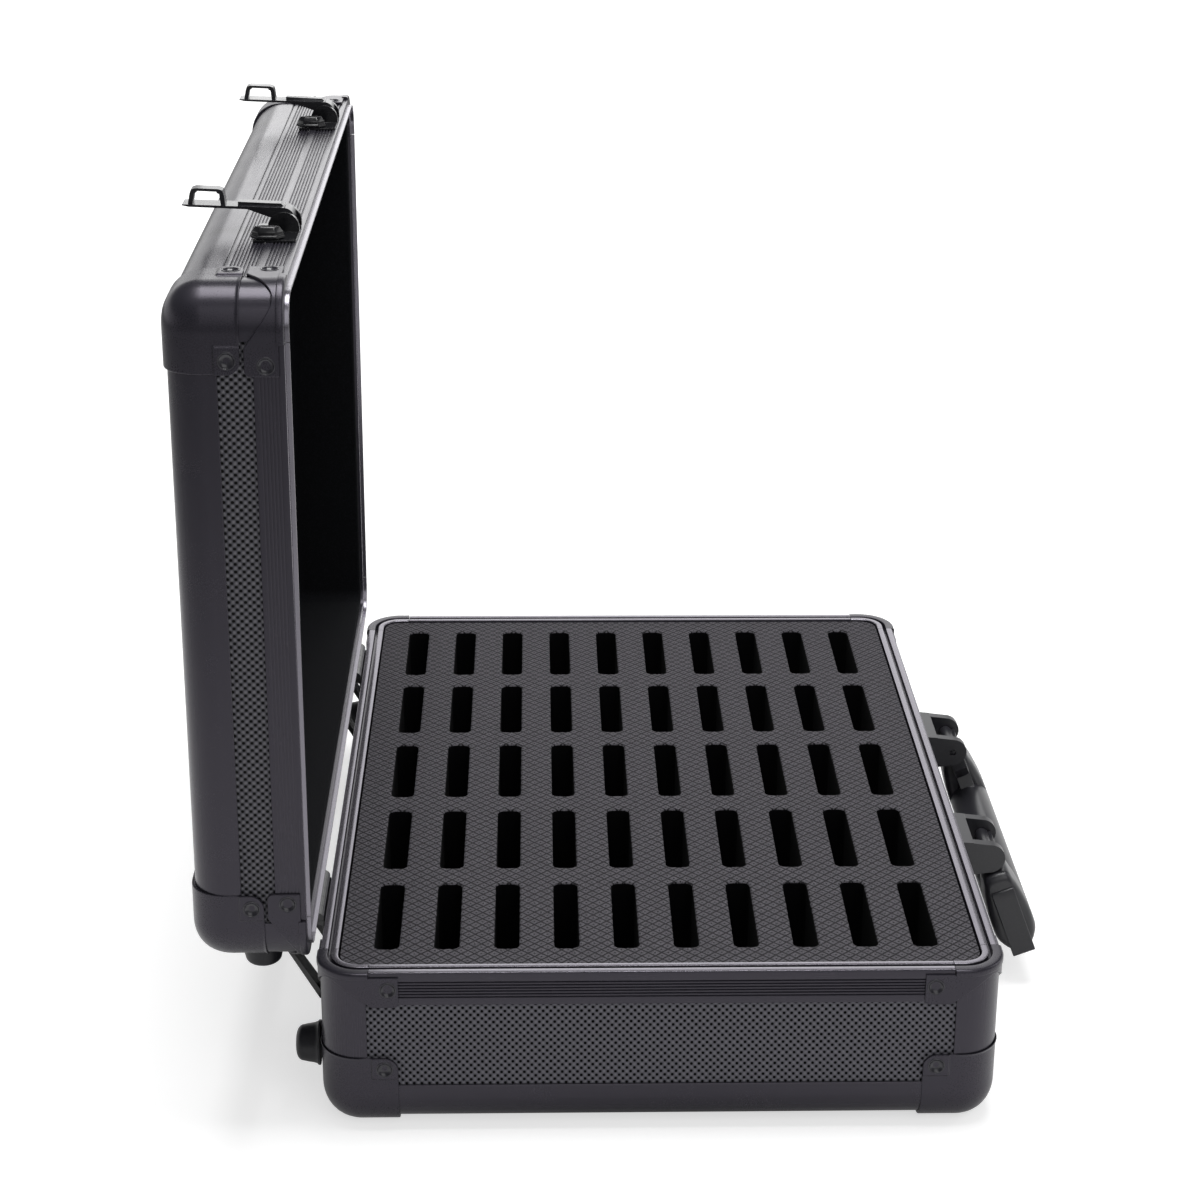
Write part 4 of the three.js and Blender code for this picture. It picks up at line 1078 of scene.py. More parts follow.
    def slab(self, surface: Surface) -> None:
        """Adds the flat square under the corner's legs, which closes the sole."""
        a, b = -self.run, self.sole_lap
        square = np.array([[a, a], [b, a], [b, b], [a, b]])
        low, high = -self.sole + self.slab_inset[0], -self.sizes.stand_off - self.slab_inset[1]
        add_tube(surface, np.stack([np.concatenate([square, np.full((4, 1), z)], 1) for z in (low, high)]))

    def build(self, name: str, matrix: np.ndarray) -> bpy.types.Object:
        """Joins the sheet, the sole's slab and the rivets.

        Args:
            name: name of the new piece.
            matrix: carries the corner to the row frame.

        Returns:
            The cap.
        """
        surface = Surface()
        self.sheet(surface)
        self.slab(surface)
        self.rivet.add_pair(surface, self.run - self.rivet_end, self.sizes.corner_radius + self.pad,
                            self.tab - self.rivet_drop, 1)
        return make_piece(name, surface, matrix, [self.finish, self.rivet_finish], sharp=40)


@dataclass
class RimSection:
    """Sizes that the straight rim and its corners share, in millimetres from the outer face and rim plane."""

    tongued: bool
    width: float = 8.4
    depth: float = 5.3
    outer_lip: float = 3.5
    groove: float = 1.8
    groove_depth: float = 3.6
    tongue: float = 1.0
    tongue_height: float = 1.8
    groove_rounds: tuple[float, ...] = (0.4, 0.2, 0.2, 0.4)
    tongue_rounds: tuple[float, ...] = (0.1, 0.3, 0.3, 0.1)

    def between_lips(self) -> tuple[list[list[float]], Sequence[float]]:
        """The groove between the lips, or the tongue that enters it.

        Returns:
            Its (inset, level) points and the rounding of each.
        """
        a, b = self.outer_lip, self.outer_lip + self.groove
        if not self.tongued:
            return [[a, 0], [a, -self.groove_depth], [b, -self.groove_depth], [b, 0]], self.groove_rounds
        t0, t1 = (a + b - self.tongue) / 2, (a + b + self.tongue) / 2
        return [[t0, 0], [t0, self.tongue_height], [t1, self.tongue_height], [t1, 0]], self.tongue_rounds

    @staticmethod
    def lip_highlight_shades(section: np.ndarray, start: float = 0.0, level: float = -0.3) -> np.ndarray:
        """Shade 1, the painted highlight, for the section's sides above a level and past a start, else 0."""
        middle = (section + np.roll(section, -1, 0)) / 2
        return ((middle[:, 0] > start) & (middle[:, 1] > level)).astype(int)


@dataclass
class RimCorner:
    """Pressed corner of the rim: a proud bead with both lips, and a skirt with two riveted tabs."""

    sizes: CaseSizes
    finish: bpy.types.Material
    lip_highlight_finish: bpy.types.Material
    rivet_finish: bpy.types.Material
    height: float
    rim: RimSection
    tab: float
    rivet_level: float
    rivet: Rivet = Rivet()
    face: float = 1.1
    bead: float = 1.5
    bead_low: float = 3.3
    run: float = 18.0
    apex: float = 5.0
    ramp: float = 20.0
    ease: float = 6.0
    tab_round: float = 2.5
    head: float = 3.0
    tab_head: float = 2.4
    edge: float = 0.35
    rivet_run: float = 13.3
    bead_break: float = 0.3
    bead_rounds: tuple[float, ...] = (0.0, 0.1, 0.3, 1.5)
    inner_rounds: tuple[float, ...] = (0.7, 0.0)
    foot_steps: tuple[float, ...] = (0.45, 0.25, 0.1, 0.0)
    leg_steps: int = 42
    turn_steps: int = 40
    lip_steps: int = 28
    wall_steps: int = 34

    def lips(self) -> np.ndarray:
        """Section of the bead and the lips, its corners rounded.

        Returns:
            The (inset, level) points.
        """
        hidden = -self.face / 2
        middle, rounds = self.rim.between_lips()
        points = [[hidden, -self.rim.depth], [hidden, -self.bead_low - self.bead_break],
                  [-self.bead, -self.bead_low], [-self.bead, 0], *middle, [self.rim.width, 0],
                  [self.rim.width, -self.rim.depth]]
        return rounded_outline(np.array(points), [*self.bead_rounds, *rounds, *self.inner_rounds], 4)

    def foot(self, d: np.ndarray) -> np.ndarray:
        """Drop of the lower edge: the apex, then a run down to the tab, eased by a hyperbola."""
        whole = math.hypot(self.ramp, self.ease) - self.ease
        share = (np.sqrt(d ** 2 + self.ease ** 2) - self.ease) / whole
        return self.apex + (self.tab - self.apex) * np.minimum(1, share)

    def skirt(self, surface: Surface) -> None:
        """Lofts the skirt from its head, which steps down past the bead, to its rounded lower edge.

        Args:
            surface: receives the mesh.
        """
        s = self.sizes
        stations = Stations.corner(s.corner_radius, near_edge(self.run, self.leg_steps), self.turn_steps)
        half = stations.half_turn
        d = np.abs(stations.run)
        foot = rolled(half + self.run - d, self.tab_round) - self.foot(d)
        head = np.where(d > half + s.lip_run, -self.tab_head, -self.head)
        wall = np.concatenate([np.linspace(head, foot + EDGE_BAND, self.wall_steps, axis=1),
                               foot[:, None] + np.array(self.foot_steps)], 1)
        ends = np.clip(half + self.run - d, 0, None)[:, None]
        bowl = self.rivet.bowl(d[:, None] - half - self.rivet_run, wall + self.rivet_level)
        inward = rolled(np.minimum(wall - foot[:, None], ends), self.edge)
        add_sheet(surface, stations.carry(-self.face + bowl + inward, self.height + wall),
                  stations.carry(np.full_like(wall, -s.stand_off), self.height + wall))

    def build(self, name: str, matrix: np.ndarray) -> bpy.types.Object:
        """Sweeps the bead and the lips round the corner, and adds the skirt and the rivets.

        Args:
            name: name of the new piece.
            matrix: carries the corner to the row frame.

        Returns:
            The corner.
        """
        s = self.sizes
        surface = Surface()
        section = self.lips()
        turn = Stations.corner(s.corner_radius, [s.lip_run - s.lip_seam], self.lip_steps)
        # The inner lip's top takes the painted highlight; the bead keeps the pressed finish.
        add_tube(surface, turn.carry(section[:, 0], self.height + section[:, 1]),
                 shades=RimSection.lip_highlight_shades(section, self.rim.outer_lip))
        self.skirt(surface)
        self.rivet.add_pair(surface, self.rivet_run, s.corner_radius + self.face,
                            self.height - self.rivet_level, 2)
        return make_piece(name, surface, matrix, [self.finish, self.lip_highlight_finish, self.rivet_finish], sharp=40)


@dataclass
class RimProfile:
    """Straight rim extrusion: outer lip, groove or tongue, inner lip, and a skirt with fine ribs outside."""

    sizes: CaseSizes
    finish: bpy.types.Material
    lip_highlight_finish: bpy.types.Material
    height: float
    rim: RimSection
    skirt: float
    ribs: Sequence[tuple[float, int]]
    rib_depth: float
    rib_pitch: float = 1.5
    rib_half: float = 0.42
    rib_floor: float = 0.1
    rib_rounds: tuple[float, ...] = (0.12, 0.06, 0.06, 0.12)
    inner_skirt: float = 12.0
    outer_round: float = 0.6
    lower_rounds: tuple[float, ...] = (0.8, 0.2, 0.2, 0.0, 0.0, 0.15, 0.3)

    def section(self) -> np.ndarray:
        """Outline of the extrusion; each rib groove is a narrow trough with rounded shoulders.

        Returns:
            The (inset, level) points.
        """
        w, skin = self.rim.width, self.sizes.skin
        middle, rounds = self.rim.between_lips()
        points = [[0, 0], *middle, [w, 0], [w, -self.inner_skirt], [w - skin, -self.inner_skirt],
                  [w - skin, -self.rim.depth], [skin, -self.rim.depth], [skin, -self.skirt], [0, -self.skirt]]
        radii = [self.outer_round, *rounds, *self.lower_rounds]
        for start, count in self.ribs:
            for i in range(count - 1, -1, -1):
                v = -start - i * self.rib_pitch
                points += [[0, v - self.rib_half], [self.rib_depth, v - self.rib_floor],
                           [self.rib_depth, v + self.rib_floor], [0, v + self.rib_half]]
                radii += self.rib_rounds
        return rounded_outline(np.array(points, float), radii, 2)

    def build(self, name: str, matrix: np.ndarray, turn: float) -> bpy.types.Object:
        """Extrudes the section between the two rim corners of its side.

        Args:
            name: name of the new piece.
            matrix: carries the shell to the row frame.
            turn: degrees from the right-hand side round to this one.

        Returns:
            The profile.
        """
        s = self.sizes
        side_x = turn % 180 == 0
        reach, span = (s.length / 2, s.width) if side_x else (s.width / 2, s.length)
        half = span / 2 - s.corner_radius - s.lip_run - s.lip_seam
        section = self.section()
        out, up = reach - section[:, 0], self.height + section[:, 1]
        rings = np.stack([np.stack([out, np.full(len(section), y), up], -1) for y in (-half, half)])
        surface = Surface()
        # The lips' top faces take the painted highlight.
        add_tube(surface, rings, shades=RimSection.lip_highlight_shades(section))
        return make_piece(name, surface, matrix @ turn_z(turn), [self.finish, self.lip_highlight_finish], sharp=30)


@dataclass
class Shell:
    """One half of the case: frame, posts, rim, corners and panels."""

    sizes: CaseSizes
    finishes: Finishes
    half: Half
    base_cap: float = 36.5
    lid_cap: float = 31.7
    base_tab: float = 17.4
    lid_tab: float = 16.7
    base_rivet: float = 8.3
    lid_rivet: float = 7.8
    base_skirt: float = 16.5
    base_front_skirt: float = 14.0
    lid_skirt: float = 13.2
    base_ribs: tuple[tuple[float, int], ...] = ((5.0, 6),)
    lid_ribs: tuple[tuple[float, int], ...] = ((3.0, 6),)
    lid_front_ribs: tuple[tuple[float, int], ...] = ((14.6, 8), (3.0, 6))
    rib_depth: float = 0.7
    faint_ribs: float = 0.22
    seam: float = 0.3
    leg_break: float = 0.35
    tail_gap: float = 0.6
    tail_break: float = 0.2
    post_drop: float = 5.6
    post_legs: tuple[float, float] = (3.28, 3.4)
    post_break: float = 0.12

    @property
    def is_lid(self) -> bool:
        """Whether this half is the lid."""
        return self.half is Half.LID

    def edge_frame(self) -> None:
        """Sweeps the rounded edge extrusion once round the panel; its leg's edge is broken at 45 degrees."""
        s = self.sizes
        centre = (s.edge_radius, s.edge_radius)
        outer = arc(centre, s.edge_radius, 180, 270, 14)
        inner = arc(centre, s.edge_radius - s.skin, 270, 180, 8)
        tail = s.corner_radius - self.tail_gap
        section = np.concatenate([
            [[self.leg_break, s.edge_leg], [0, s.edge_leg - self.leg_break]], outer,
            [[tail - self.tail_break, 0], [tail, self.tail_break], [tail, s.skin]], inner,
            [[s.skin, s.edge_leg]]])
        loop = Stations.loop(s.length, s.width, s.corner_radius, 12)
        surface = Surface()
        add_tube(surface, loop.carry(section[:, 0], section[:, 1]), closed=True)
        name = f"{self.half.value}_edge_extrusion"
        piece = make_piece(name, surface, s.place(self.half), [self.finishes.frame_x])
        settle(piece, self.half.value, "frame_aluminium", [f"{self.half.value}_edge_frame"])

    def posts(self) -> None:
        """Sweeps the four vertical corner extrusions, their outer edges broken."""
        s = self.sizes
        top = s.height(self.half) - self.post_drop
        low = s.edge_leg + self.seam
        section = np.array([[0, low], [s.skin, low], [s.skin, top], [0, top]])
        stations = Stations.corner(s.corner_radius, self.post_legs, 16)
        inset = np.tile(section[:, 0], (len(stations.run), 1))
        inset[[0, -1], 0] = inset[[0, -1], 3] = self.post_break
        finish = self.finishes.frame_y if self.is_lid else self.finishes.frame_z
        for corner, matrix in s.corners(self.half):
            surface = Surface()
            add_tube(surface, stations.carry(inset, section[:, 1]))
            name = f"{self.half.value}_corner_extrusion_{corner}"
            node = f"{self.half.value}_corner_post_{corner}"
            settle(make_piece(name, surface, matrix, [finish]), self.half.value, "frame_aluminium", [node])

    def caps(self) -> None:
        """Builds the four ball corners."""
        cap = BallCorner(self.sizes, self.finishes.pressed, self.finishes.rivet,
                         self.lid_cap if self.is_lid else self.base_cap)
        for corner, matrix in self.sizes.corners(self.half):
            node = f"{self.half.value}_ball_corner_{corner}"
            piece = cap.build(f"{self.half.value}_ball_cap_{corner}", matrix)
            settle(piece, self.half.value, "corner_steel", [node])

    def straight_rim(self, side: str, rim: RimSection) -> RimProfile:
        """The rim profile of one side, with that side's skirt and ribs.

        Args:
            side: right, back, left or front.
            rim: the section of this half's lips.

        Returns:
            The profile, ready to build.
        """
        f, height = self.finishes, self.sizes.height(self.half)
        front = side == "front"
        along_x = front or side == "back"
        if self.is_lid:
            skirt = height - self.sizes.edge_leg - self.seam if front else self.lid_skirt
            ribs = self.lid_front_ribs if front else self.lid_ribs
            finish = f.frame_x if along_x else f.frame_z
        else:
            skirt = self.base_front_skirt if front else self.base_skirt
            ribs = self.base_ribs
            finish = f.frame_x if along_x else f.frame_y
        return RimProfile(self.sizes, finish, f.lip, height, rim, skirt, ribs,
                          self.faint_ribs if self.is_lid and not front else self.rib_depth)

    def rims(self) -> None:
        """Builds the four straight rims and the four rim corners."""
        s, f = self.sizes, self.finishes
        rim = RimSection(tongued=self.is_lid)
        sides = ("right", "front", "left", "back") if self.is_lid else ("right", "back", "left", "front")
        for i, side in enumerate(sides):
            name = f"{self.half.value}_rim_{side}"
            piece = self.straight_rim(side, rim).build(name, s.place(self.half), 90.0 * i)
            settle(piece, self.half.value, "frame_aluminium", [f"{self.half.value}_rim_profile_{side}"])
        tab, rivet = (self.lid_tab, self.lid_rivet) if self.is_lid else (self.base_tab, self.base_rivet)
        corner_piece = RimCorner(s, f.pressed, f.lip, f.rivet, s.height(self.half), rim, tab, rivet)
        for corner, matrix in s.corners(self.half):
            piece = corner_piece.build(f"{self.half.value}_rim_cap_{corner}", matrix)
            settle(piece, self.half.value, "corner_steel", [f"{self.half.value}_rim_corner_{corner}"])

    def panels(self) -> None:
        """Dresses the board tray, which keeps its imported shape."""
        board = frame["nodes"][f"{self.half.value}_carcass"]
        board.data.materials.clear()
        # The lid's board takes the darker copy, its colour painted shade.
        board.data.materials.append(self.finishes.shaded_lid_walls if self.is_lid else self.finishes.base_walls)

    def build(self) -> None:
        """Builds every piece of this half."""
        self.edge_frame()
        self.posts()
        self.caps()
        self.rims()
        self.panels()


# Soft insides


@dataclass
class FoamTray:
    """Foam block with a pressed skin on top and rows of deep slots."""

    sizes: CaseSizes
    finishes: Finishes
    rows: int = 5
    columns: int = 10
    row_pitch: float = 80.0
    column_pitch: float = 27.3
    slot_length: float = 63.8
    slot_width: float = 11.4
    slot_round: float = 3.4
    slot_depth: float = 68.0
    shift_y: float = 1.5
    inset: float = 9.2
    corner: float = 9.0
    top_drop: float = 1.0
    floor: float = 6.5
    lips: tuple[tuple[float, float], ...] = (
        (1.6, 0.0), (0.7, -0.05), (0.25, -0.3), (0.04, -0.8), (0.0, -1.5))
    wall_levels: tuple[float, ...] = (-6.0, -25.0)
    foot_rise: float = 0.5
    sway: float = 0.12
    sway_rates: tuple[float, float] = (0.9, 1.3)
    turn_steps: int = 8
    side_steps: tuple[int, int] = (14, 4)
    near: float = 1e-3

    @property
    def reach(self) -> tuple[float, float]:
        """Half the block's length and half its width."""
        return self.sizes.length / 2 - self.inset, self.sizes.width / 2 - self.inset

    @property
    def top(self) -> float:
        """Level of the skin above the case's bottom."""
        return self.sizes.height(Half.BASE) - self.top_drop

    def slot_outline(self, grow: float) -> np.ndarray:
        """Points round a slot, starting at a corner's middle.

        Args:
            grow: margin by which the slot is made larger.

        Returns:
            The points about the slot's middle, the same number for every margin.
        """
        hx, hy, r = self.slot_length / 2 + grow, self.slot_width / 2 + grow, self.slot_round + grow
        parts = []
        for quarter, (sx, sy) in enumerate(((1, 1), (-1, 1), (-1, -1), (1, -1))):
            a = math.pi / 2 * (quarter + np.linspace(0, 1, self.turn_steps + 1))
            parts.append(np.stack([sx * (hx - r) + r * np.cos(a), sy * (hy - r) + r * np.sin(a)], -1))
        loop = []
        for i, part in enumerate(parts):
            t = np.linspace(0, 1, self.side_steps[i % 2] + 2)[1:-1, None]
            loop += [part, part[-1] + (parts[(i + 1) % 4][0] - part[-1]) * t]
        return np.roll(np.concatenate(loop), -self.turn_steps // 2, axis=0)

    def cell_outline(self, x: Sequence[float], y: Sequence[float]) -> np.ndarray:
        """Points on a cell's border, one for each point of the slot's ring, in the same order.

        Args:
            x: where the cell starts and ends along the case.
            y: where it starts and ends across the case.

        Returns:
            The points, with each corner of the block pulled onto its arc.
        """
        corners = np.array([[x[1], y[1]], [x[0], y[1]], [x[0], y[0]], [x[1], y[0]]])
        sides = []
        for i, (start, end) in enumerate(zip(corners, np.roll(corners, -1, 0))):
            count = self.side_steps[i % 2] + 1 + self.turn_steps
            sides.append(start + (end - start) * np.linspace(0, 1, count + 1)[:-1, None])
        return self.round_corners(np.concatenate(sides))

    def past_corner(self, points: np.ndarray) -> tuple[np.ndarray, np.ndarray, np.ndarray]:
        """How far points lie past the centres of the block's rounded corners.

        Args:
            points: x and y pairs.

        Returns:
            The distances along x and along y, and whether both are positive.
        """
        (hx, hy), radius = self.reach, self.corner
        dx, dy = np.abs(points[:, 0]) - (hx - radius), np.abs(points[:, 1]) - (hy - radius)
        return dx, dy, (dx > 0) & (dy > 0)

    def round_corners(self, points: np.ndarray) -> np.ndarray:
        """Pulls what lies past a corner's centre onto the corner's arc, straight towards that centre.

        Args:
            points: x and y pairs.

        Returns:
            The points, moved where they have to be.
        """
        (hx, hy), radius = self.reach, self.corner
        out = points.copy()
        dx, dy, corner = self.past_corner(points)
        scale = radius / np.maximum(np.hypot(dx, dy), 1e-6)
        out[corner, 0] = np.sign(points[corner, 0]) * (hx - radius + dx[corner] * scale[corner])
        out[corner, 1] = np.sign(points[corner, 1]) * (hy - radius + dy[corner] * scale[corner])
        return out

    def cell(self, surface: Surface, border: np.ndarray, centre: np.ndarray) -> None:
        """Adds one cell ring by ring, from its border over the slot's rounded lip to the slot's floor.

        The rings sway by the product of a sine along x and one along y, as cut foam does.

        Args:
            surface: receives the mesh.
            border: points of the cell's border.
            centre: middle of its slot.
        """
        depths = (*self.wall_levels, -self.slot_depth + self.foot_rise, -self.slot_depth)
        levels = (*self.lips, *((0.0, z) for z in depths))
        rings = [(self.slot_outline(grow), z) for grow, z in levels]
        count = len(border)
        quads = grid_faces(2, count, wrap_cols=True)
        loops = [np.column_stack([border, np.full(count, self.top)])]
        rate_x, rate_y = self.sway_rates
        for ring, z in rings:
            phase_x, phase_y = ring[:, :1] * rate_x + centre.sum(), ring[:, 1:] * rate_y + centre[0]
            wave = self.sway * np.sin(phase_x) * np.sin(phase_y)
            loops.append(np.column_stack([ring + centre + wave, np.full(count, self.top + z)]))
        stack = np.stack(loops)
        for k in range(len(loops) - 1):
            # Below the lip the slot's walls take the cut foam's near-black finish, which is painted shade.
            surface.add(stack[k:k + 2], quads, [int(k >= len(self.lips) - 1)] * len(quads))
        surface.add(stack[-1], [list(range(count))], [1])

    def outside(self, surface: Surface, border: np.ndarray) -> None:
        """Adds the block's outer wall and its underside.

        Args:
            surface: receives the mesh.
            border: points of all the cells' borders.
        """
        hx, hy = self.reach
        border = np.unique(np.round(border, 5), axis=0)
        edge = np.any(np.abs(np.abs(border) - [hx, hy]) < self.near, axis=1)
        rim = border[edge | self.past_corner(border)[2]]
        rim = rim[np.argsort(np.arctan2(rim[:, 1] * hx / hy, rim[:, 0]))]
        wall = np.stack([np.column_stack([rim, np.full(len(rim), z)]) for z in (self.top, self.floor)])
        surface.add(wall, grid_faces(2, len(rim), wrap_cols=True), [1] * len(rim))
        surface.add(wall[1], [list(range(len(rim)))], [1])

    def build(self) -> None:
        """Adds every cell and the outside, and makes the foam."""
        hx, hy = self.reach
        xs = np.concatenate([[-hx], (np.arange(1, self.rows) - self.rows / 2) * self.row_pitch, [hx]])
        ys = np.concatenate([[-hy], (np.arange(1, self.columns) - self.columns / 2) * self.column_pitch
                             + self.shift_y, [hy]])
        surface = Surface()
        borders = []
        for r in range(self.rows):
            for c in range(self.columns):
                centre = np.array([(r - (self.rows - 1) / 2) * self.row_pitch,
                                   (c - (self.columns - 1) / 2) * self.column_pitch + self.shift_y])
                borders.append(self.cell_outline(xs[r:r + 2], ys[c:c + 2]))
                self.cell(surface, borders[-1], centre)
        self.outside(surface, np.concatenate(borders))
        piece = make_piece("foam_tray", surface, self.sizes.place(Half.BASE),
                           [self.finishes.foam, self.finishes.slot_foam_shaded], sharp=60, weld=0.01)
        settle(piece, Half.BASE.value, "foam", ["base_foam_insert"])


@dataclass
class LidLining:
    """Flocked liner tray inside the lid, its floor meeting its walls in a soft curve."""

    sizes: CaseSizes
    finishes: Finishes
    outside: float = 8.7
    thickness: float = 3.0
    floor: float = 6.5
    top_drop: float = 1.5
    cove: float = 6.2
    heel: tuple[float, float] = (2.0, 3.0)

    def build(self) -> None:
        """Stacks rings from the floor's middle up the coved wall, over the lip and down the outside."""
        s = self.sizes
        top = s.height(Half.LID) - self.top_drop
        inner = self.outside + self.thickness
        base = self.floor + self.thickness
        cove = arc((inner + self.cove, base + self.cove), self.cove, 270, 180, 8)
        bead = self.thickness / 2
        lip = arc((self.outside + bead, top - bead), bead, 0, 180, 6)
        run, rise = self.heel
        outside = np.array([[self.outside, self.floor + rise], [self.outside + run, self.floor]])
        section = np.concatenate([cove, lip, outside])
        loop = Stations.loop(s.length, s.width, s.corner_radius, 10)
        rings = loop.carry(section[:, 0], section[:, 1]).transpose(1, 0, 2)
        surface = Surface()
        add_tube(surface, rings)
        piece = make_piece("lid_liner", surface, s.place(Half.LID), [self.finishes.lining], sharp=50)
        settle(piece, Half.LID.value, "lining", ["lid_lining"])


# Fittings


def refined(name: str, node: str, finish: bpy.types.Material, bevel: float, angle: float = 28.0,
            segments: int = 2) -> bpy.types.Object:
    """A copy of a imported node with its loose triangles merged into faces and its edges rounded.

    Args:
        name: name of the new piece.
        node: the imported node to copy.
        finish: its material.
        bevel: width of the rounded edges in millimetres.
        angle: edges steeper than this many degrees are rounded.
        segments: faces across a rounded edge.

    Returns:
        The new object, linked to the scene.
    """
    mesh = frame["nodes"][node].data.copy()
    mesh.name = name
    mesh.materials.clear()
    mesh.materials.append(finish)
    work = bmesh.new()
    work.from_mesh(mesh)
    bmesh.ops.remove_doubles(work, verts=work.verts, dist=WELD_M)
    bmesh.ops.dissolve_limit(work, angle_limit=math.radians(FLAT_DEGREES), verts=work.verts, edges=work.edges)
    work.to_mesh(mesh)
    work.free()
    mesh.polygons.foreach_set("material_index", np.zeros(len(mesh.polygons), np.int32))
    mesh.polygons.foreach_set("use_smooth", np.ones(len(mesh.polygons), bool))
    mesh.set_sharp_from_angle(angle=math.radians(angle))
    piece = bpy.data.objects.new(name, mesh)
    bpy.context.scene.collection.objects.link(piece)
    add_bevel(piece, bevel, segments, angle)
    return piece


@dataclass
class Fittings:
    """Hinges, latches, keepers, handle brackets and feet."""

    sizes: CaseSizes
    finishes: Finishes
    foot_from_end: float = 29.0
    foot_gap: float = 0.3
    base_foot_rise: float = 27.8
    lid_foot_rise: float = 27.4
    foot_turns: int = 48
    foot_flange: tuple[tuple[float, float], ...] = (
        (10.4, 0.0), (10.4, 0.9), (9.7, 1.5), (9.2, 3.0), (8.7, 6.0))
    dome_radius: float = 8.3
    dome_start: float = 7.8
    dome_rise: float = 3.6
    dome_power: float = 0.6
    dome_end: float = 84.0

    def foot_profile(self) -> np.ndarray:
        """Section of a foot: a thin flange, a waist that narrows, and a domed tip.

        The dome's radius goes with a power of the cosine of an angle, and its height with the sine.

        Returns:
            Radius and height pairs.
        """
        angle = np.radians(np.linspace(0, self.dome_end, 9))
        radius = self.dome_radius * np.cos(angle) ** self.dome_power
        rise = self.dome_start + self.dome_rise * np.sin(angle)
        return np.concatenate([self.foot_flange, np.stack([radius, rise], -1)])

    def turned_foot(self, name: str, node: str, body: str, matrix: np.ndarray) -> None:
        """Turns the profile about the foot's axis, which stands along +Y.

        Args:
            name: name of the new piece.
            node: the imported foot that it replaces.
            body: name of the body that carries it.
            matrix: carries it to the row frame.
        """
        profile = self.foot_profile()
        a = np.linspace(0, 2 * math.pi, self.foot_turns + 1)[:-1]
        radius = profile[:, :1]
        rise = np.broadcast_to(profile[:, 1:], (len(profile), len(a)))
        surface = Surface()
        add_tube(surface, np.stack([radius * np.cos(a), rise, radius * np.sin(a)], -1))
        settle(make_piece(name, surface, matrix, [self.finishes.rubber], sharp=40), body, "rubber", [node])

    def build(self) -> None:
        """Builds every fitting."""
        s, f = self.sizes, self.finishes
        for side, sign in (("left", -1), ("right", 1)):
            x = sign * (s.length / 2 - self.foot_from_end)
            y = s.width / 2 + s.bottom + self.foot_gap
            place = shift(x, y, s.bottom + self.base_foot_rise)
            self.turned_foot(f"base_bumper_{side}", f"base_foot_{side}", "base", place)
            closed = shift(x, y, s.rim_z + s.gap + s.lid_height - self.lid_foot_rise)
            self.turned_foot(f"lid_bumper_{side}", f"lid_foot_{side}", "lid", s.swing_open() @ closed)
            for name, node, body, finish, slot, bevel in (
                ("base_hinge_leaf", "hinge_base_leaf", "base", f.lacquer, "black_steel", 0.3),
                ("lid_hinge_leaf", "hinge_lid_leaf", "lid", f.lacquer, "black_steel", 0.3),
                ("latch_housing", "latch_body", "lid", f.lacquer, "black_steel", 0.3),
                ("hasp", "latch_hasp", f"hasp_{side}", f.plated, "plated_steel", 0.35),
                ("release_slide", "latch_button", f"button_{side}", f.lacquer, "plated_steel", 0.4),
                ("keeper_plate", "latch_keeper", "base", f.lacquer, "black_steel", 0.3),
                ("grip_bracket", "handle_bracket", "base", f.grip, "handle_plastic", 0.8),
            ):
                piece = refined(f"{name}_{side}", f"{node}_{side}", finish, bevel)
                settle(piece, body, slot, [f"{node}_{side}"])


